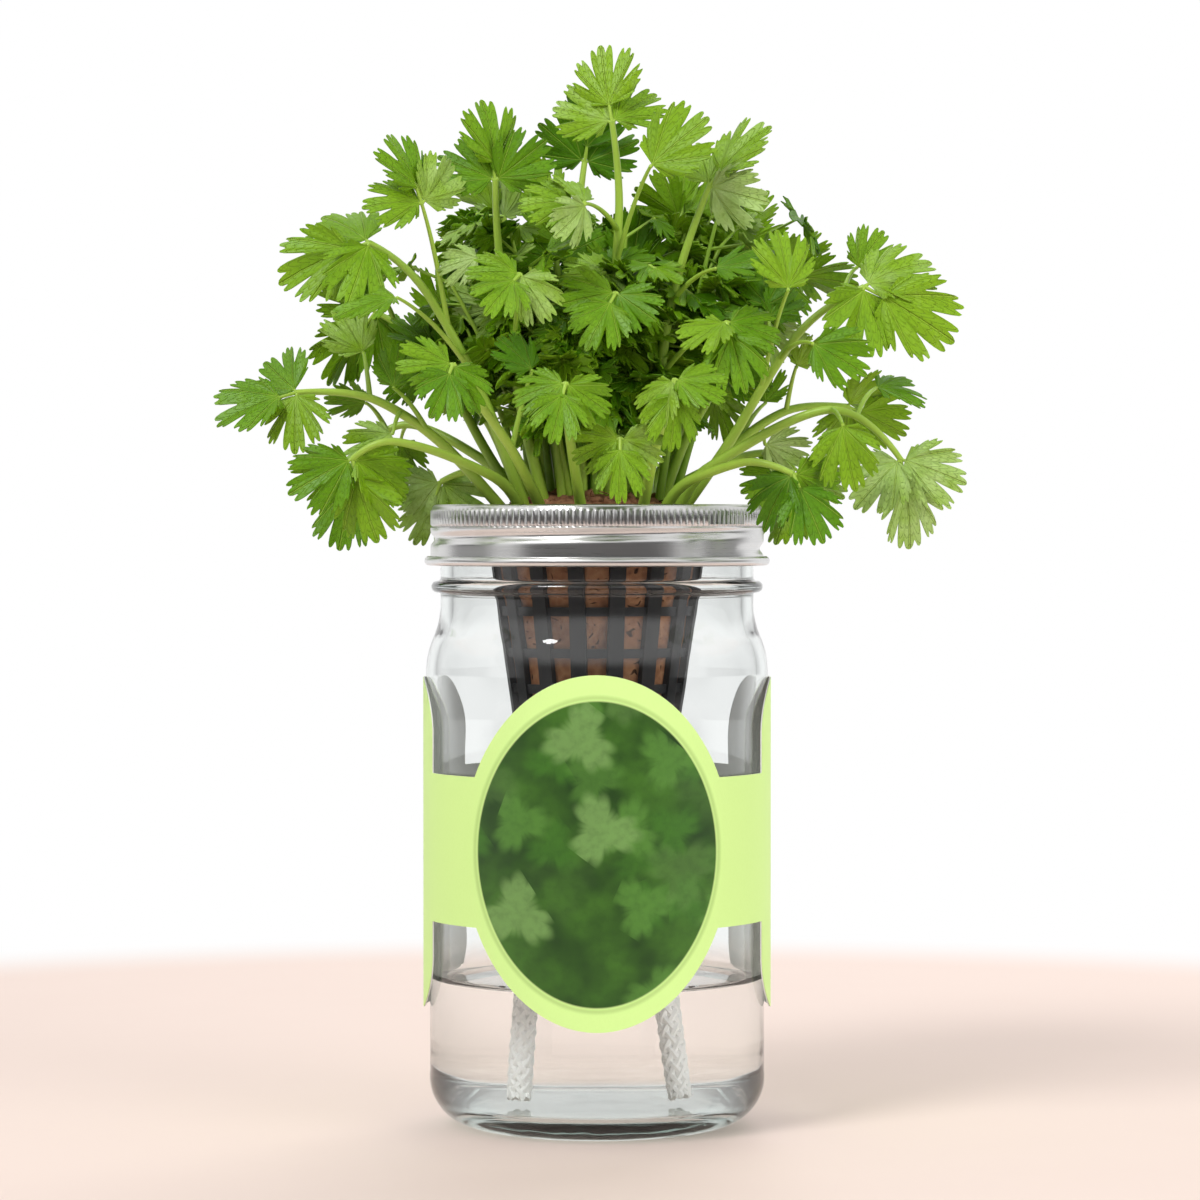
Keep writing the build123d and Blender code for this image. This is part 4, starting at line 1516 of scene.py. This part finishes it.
@dataclass
class Herb:
    """The grown herb: each planned stem on both sides, and the thicker growth between them.

    The growth is clumps of shoots, each with sprays of small leaves down its leafy share; the sprays take lower
    tones than the planned stems and leaves, as painted shade inside the herb. The front cuts draw the shoots'
    feet, reach and height in at the front, where the planned leaves hang close.
    """

    stem_r: Pair = (0.0017, 0.0008)
    stalk_r: Pair = (0.0008, 0.00045)
    stalk_arch: float = 0.15
    clumps: int = 8
    shoots: int = 7
    shoot_r: Pair = (0.0014, 0.0005)
    shoot_feet: Pair = (0.004, 0.022)
    shoot_reach: Pair = (0.006, 0.034)
    shoot_height: Pair = (0.046, 0.090)
    front_cuts: Triple = (0.6, 0.9, 0.2)
    leafy_share: float = 0.45
    sprays: int = 5
    spray_r: Pair = (0.0005, 0.00035)
    spray_reach: Pair = (0.004, 0.012)
    spray_leaf: Pair = (0.009, 0.0155)
    spray_turn: float = 1.5
    spray_tilt: float = 0.3
    seed: int = 5

    def build(self) -> None:
        """Makes every piece of the herb."""
        finishes = (FreshStem().make(), LeafGreen().make())
        full = LeafForm(across=120, along=3)
        small = LeafForm(
            across=36, along=1,
            notches=((15.0, 0.42, 4.0), (27.5, 0.20, 3.6), (40.0, 0.34, 4.0), (54.0, 0.22, 4.0)),
        )
        for side in Side:
            for k, plan in enumerate(STEM_PLANS):
                foliage = Foliage(full, random.Random(self.seed + 31 * k + len(side.prefix)))
                self.grow(foliage, plan, side)
                foliage.kept("herb_" + side.prefix + plan.name, finishes, [side.prefix + plan.name])
        for k in range(self.clumps):
            foliage = Foliage(small, random.Random(self.seed + 997 * (k + 1)))
            self.thicken(foliage, 2 * pi * k / self.clumps)
            foliage.kept(f"herb_inner_growth_{k + 1}", finishes)

    def grow(self, foliage: Foliage, plan: StemPlan, side: Side) -> None:
        """One planned stem with its stalks and leaves."""
        rng = foliage.rng
        route = [side.carried(fanned(point)) for point in plan.route]
        line = line_points(route, 12)
        foliage.add_stalk(route, self.stem_r, rng.uniform(0.7, 1.0))
        for leaf in plan.leaves:
            moved = fanned(leaf.heart)
            heart = side.carried(moved)
            tip = side.carried(moved + Vector(leaf.tip) - Vector(leaf.heart))
            start = at_share(line, leaf.share)
            reach = (heart - start).length
            if reach > self.stalk_r[0]:
                middle = start.lerp(heart, 0.5) + Vector((0, 0, self.stalk_arch * reach))
                foliage.add_stalk((start, middle, heart), self.stalk_r, rng.uniform(0.5, 0.9))
            foliage.add_leaf(heart, tip, side.facing(), leaf.blades, rng.uniform(0.25, 0.95))

    def thicken(self, foliage: Foliage, bearing: float) -> None:
        """One clump of the close growth that fills the middle of the herb.

        Args:
            foliage: Where it is added.
            bearing: The middle of its sector round the jar's axis.
        """
        rng = foliage.rng
        for _ in range(self.shoots):
            turn = bearing + rng.uniform(-0.5, 0.5) * 2 * pi / self.clumps
            out = Vector((cos(turn), sin(turn), 0.0))
            feet, reaches, heights = (1.0 - cut * max(0.0, -out.y) for cut in self.front_cuts)
            foot = out * rng.uniform(*self.shoot_feet) * feet + Vector((0, 0, ROOT_Z * MM))
            reach = rng.uniform(*self.shoot_reach) * reaches
            top = foot + out * reach + Vector((0, 0, rng.uniform(*self.shoot_height) * heights))
            bulge = foot.lerp(top, 0.5) - out * reach * self.stalk_arch
            route = (foot, bulge, top)
            line = line_points(route, 12)
            foliage.add_stalk(route, self.shoot_r, rng.uniform(0.35, 1.0), 1)
            for k in range(self.sprays):
                start = at_share(line, 1.0 - self.leafy_share * k / self.sprays)
                self.add_spray(foliage, start, turn)

    def add_spray(self, foliage: Foliage, start: Vector, turn: float) -> None:
        """One small leaf of the close growth on its own stalk.

        Args:
            foliage: Where it is added.
            start: The point of the shoot where the stalk starts.
            turn: The shoot's bearing round the jar's axis.
        """
        rng = foliage.rng
        away = turn + rng.uniform(-self.spray_turn, self.spray_turn)
        aim = Vector((cos(away), sin(away), rng.uniform(-0.15, 0.9))).normalized()
        heart = start + aim * rng.uniform(*self.spray_reach)
        droop = Vector((aim.x, aim.y, aim.z - rng.uniform(0.1, 0.9))).normalized()
        tip = heart + droop * rng.uniform(*self.spray_leaf)
        tilt = [rng.uniform(-self.spray_tilt, self.spray_tilt) for _ in range(2)]
        facing = Vector((cos(turn), sin(turn), 1.0)) * 0.7 + Vector((*tilt, 0.0))
        route = (start, start.lerp(heart, 0.5), heart)
        # Painted shade: the spray's stalk and leaf take lower tones than the planned stems and leaves, for the
        # growth inside the herb.
        foliage.add_stalk(route, self.spray_r, rng.uniform(0.3, 0.7), 0)
        foliage.add_leaf(heart, tip, facing, 3, rng.uniform(0.2, 0.75))


def main() -> None:
    """Builds the studio and the pieces in order."""
    logging.basicConfig(level=logging.INFO, format="%(message)s")
    Studio().build()
    cotton = WhiteCotton().make()
    for wick in (
        Wick("wick_left", (
            (-0.011, -0.005, 0.1069), (-0.011, -0.005, 0.0825), (-0.013, -0.0075, 0.058),
            (-0.016, -0.0105, 0.0325), (-0.0175, -0.0135, 0.0084),
        )),
        Wick("wick_right", (
            (0.0105, -0.0045, 0.1069), (0.0105, -0.0045, 0.082), (0.012, -0.007, 0.0575),
            (0.0155, -0.009, 0.032), (0.0185, -0.0125, 0.0085),
        )),
    ):
        wick.build(cotton)
    Jar().build()
    ScrewBand().build()
    CarriedParts().dress()
    CoirPlug().build()
    Herb().build()


if __name__ == "__main__":
    main()
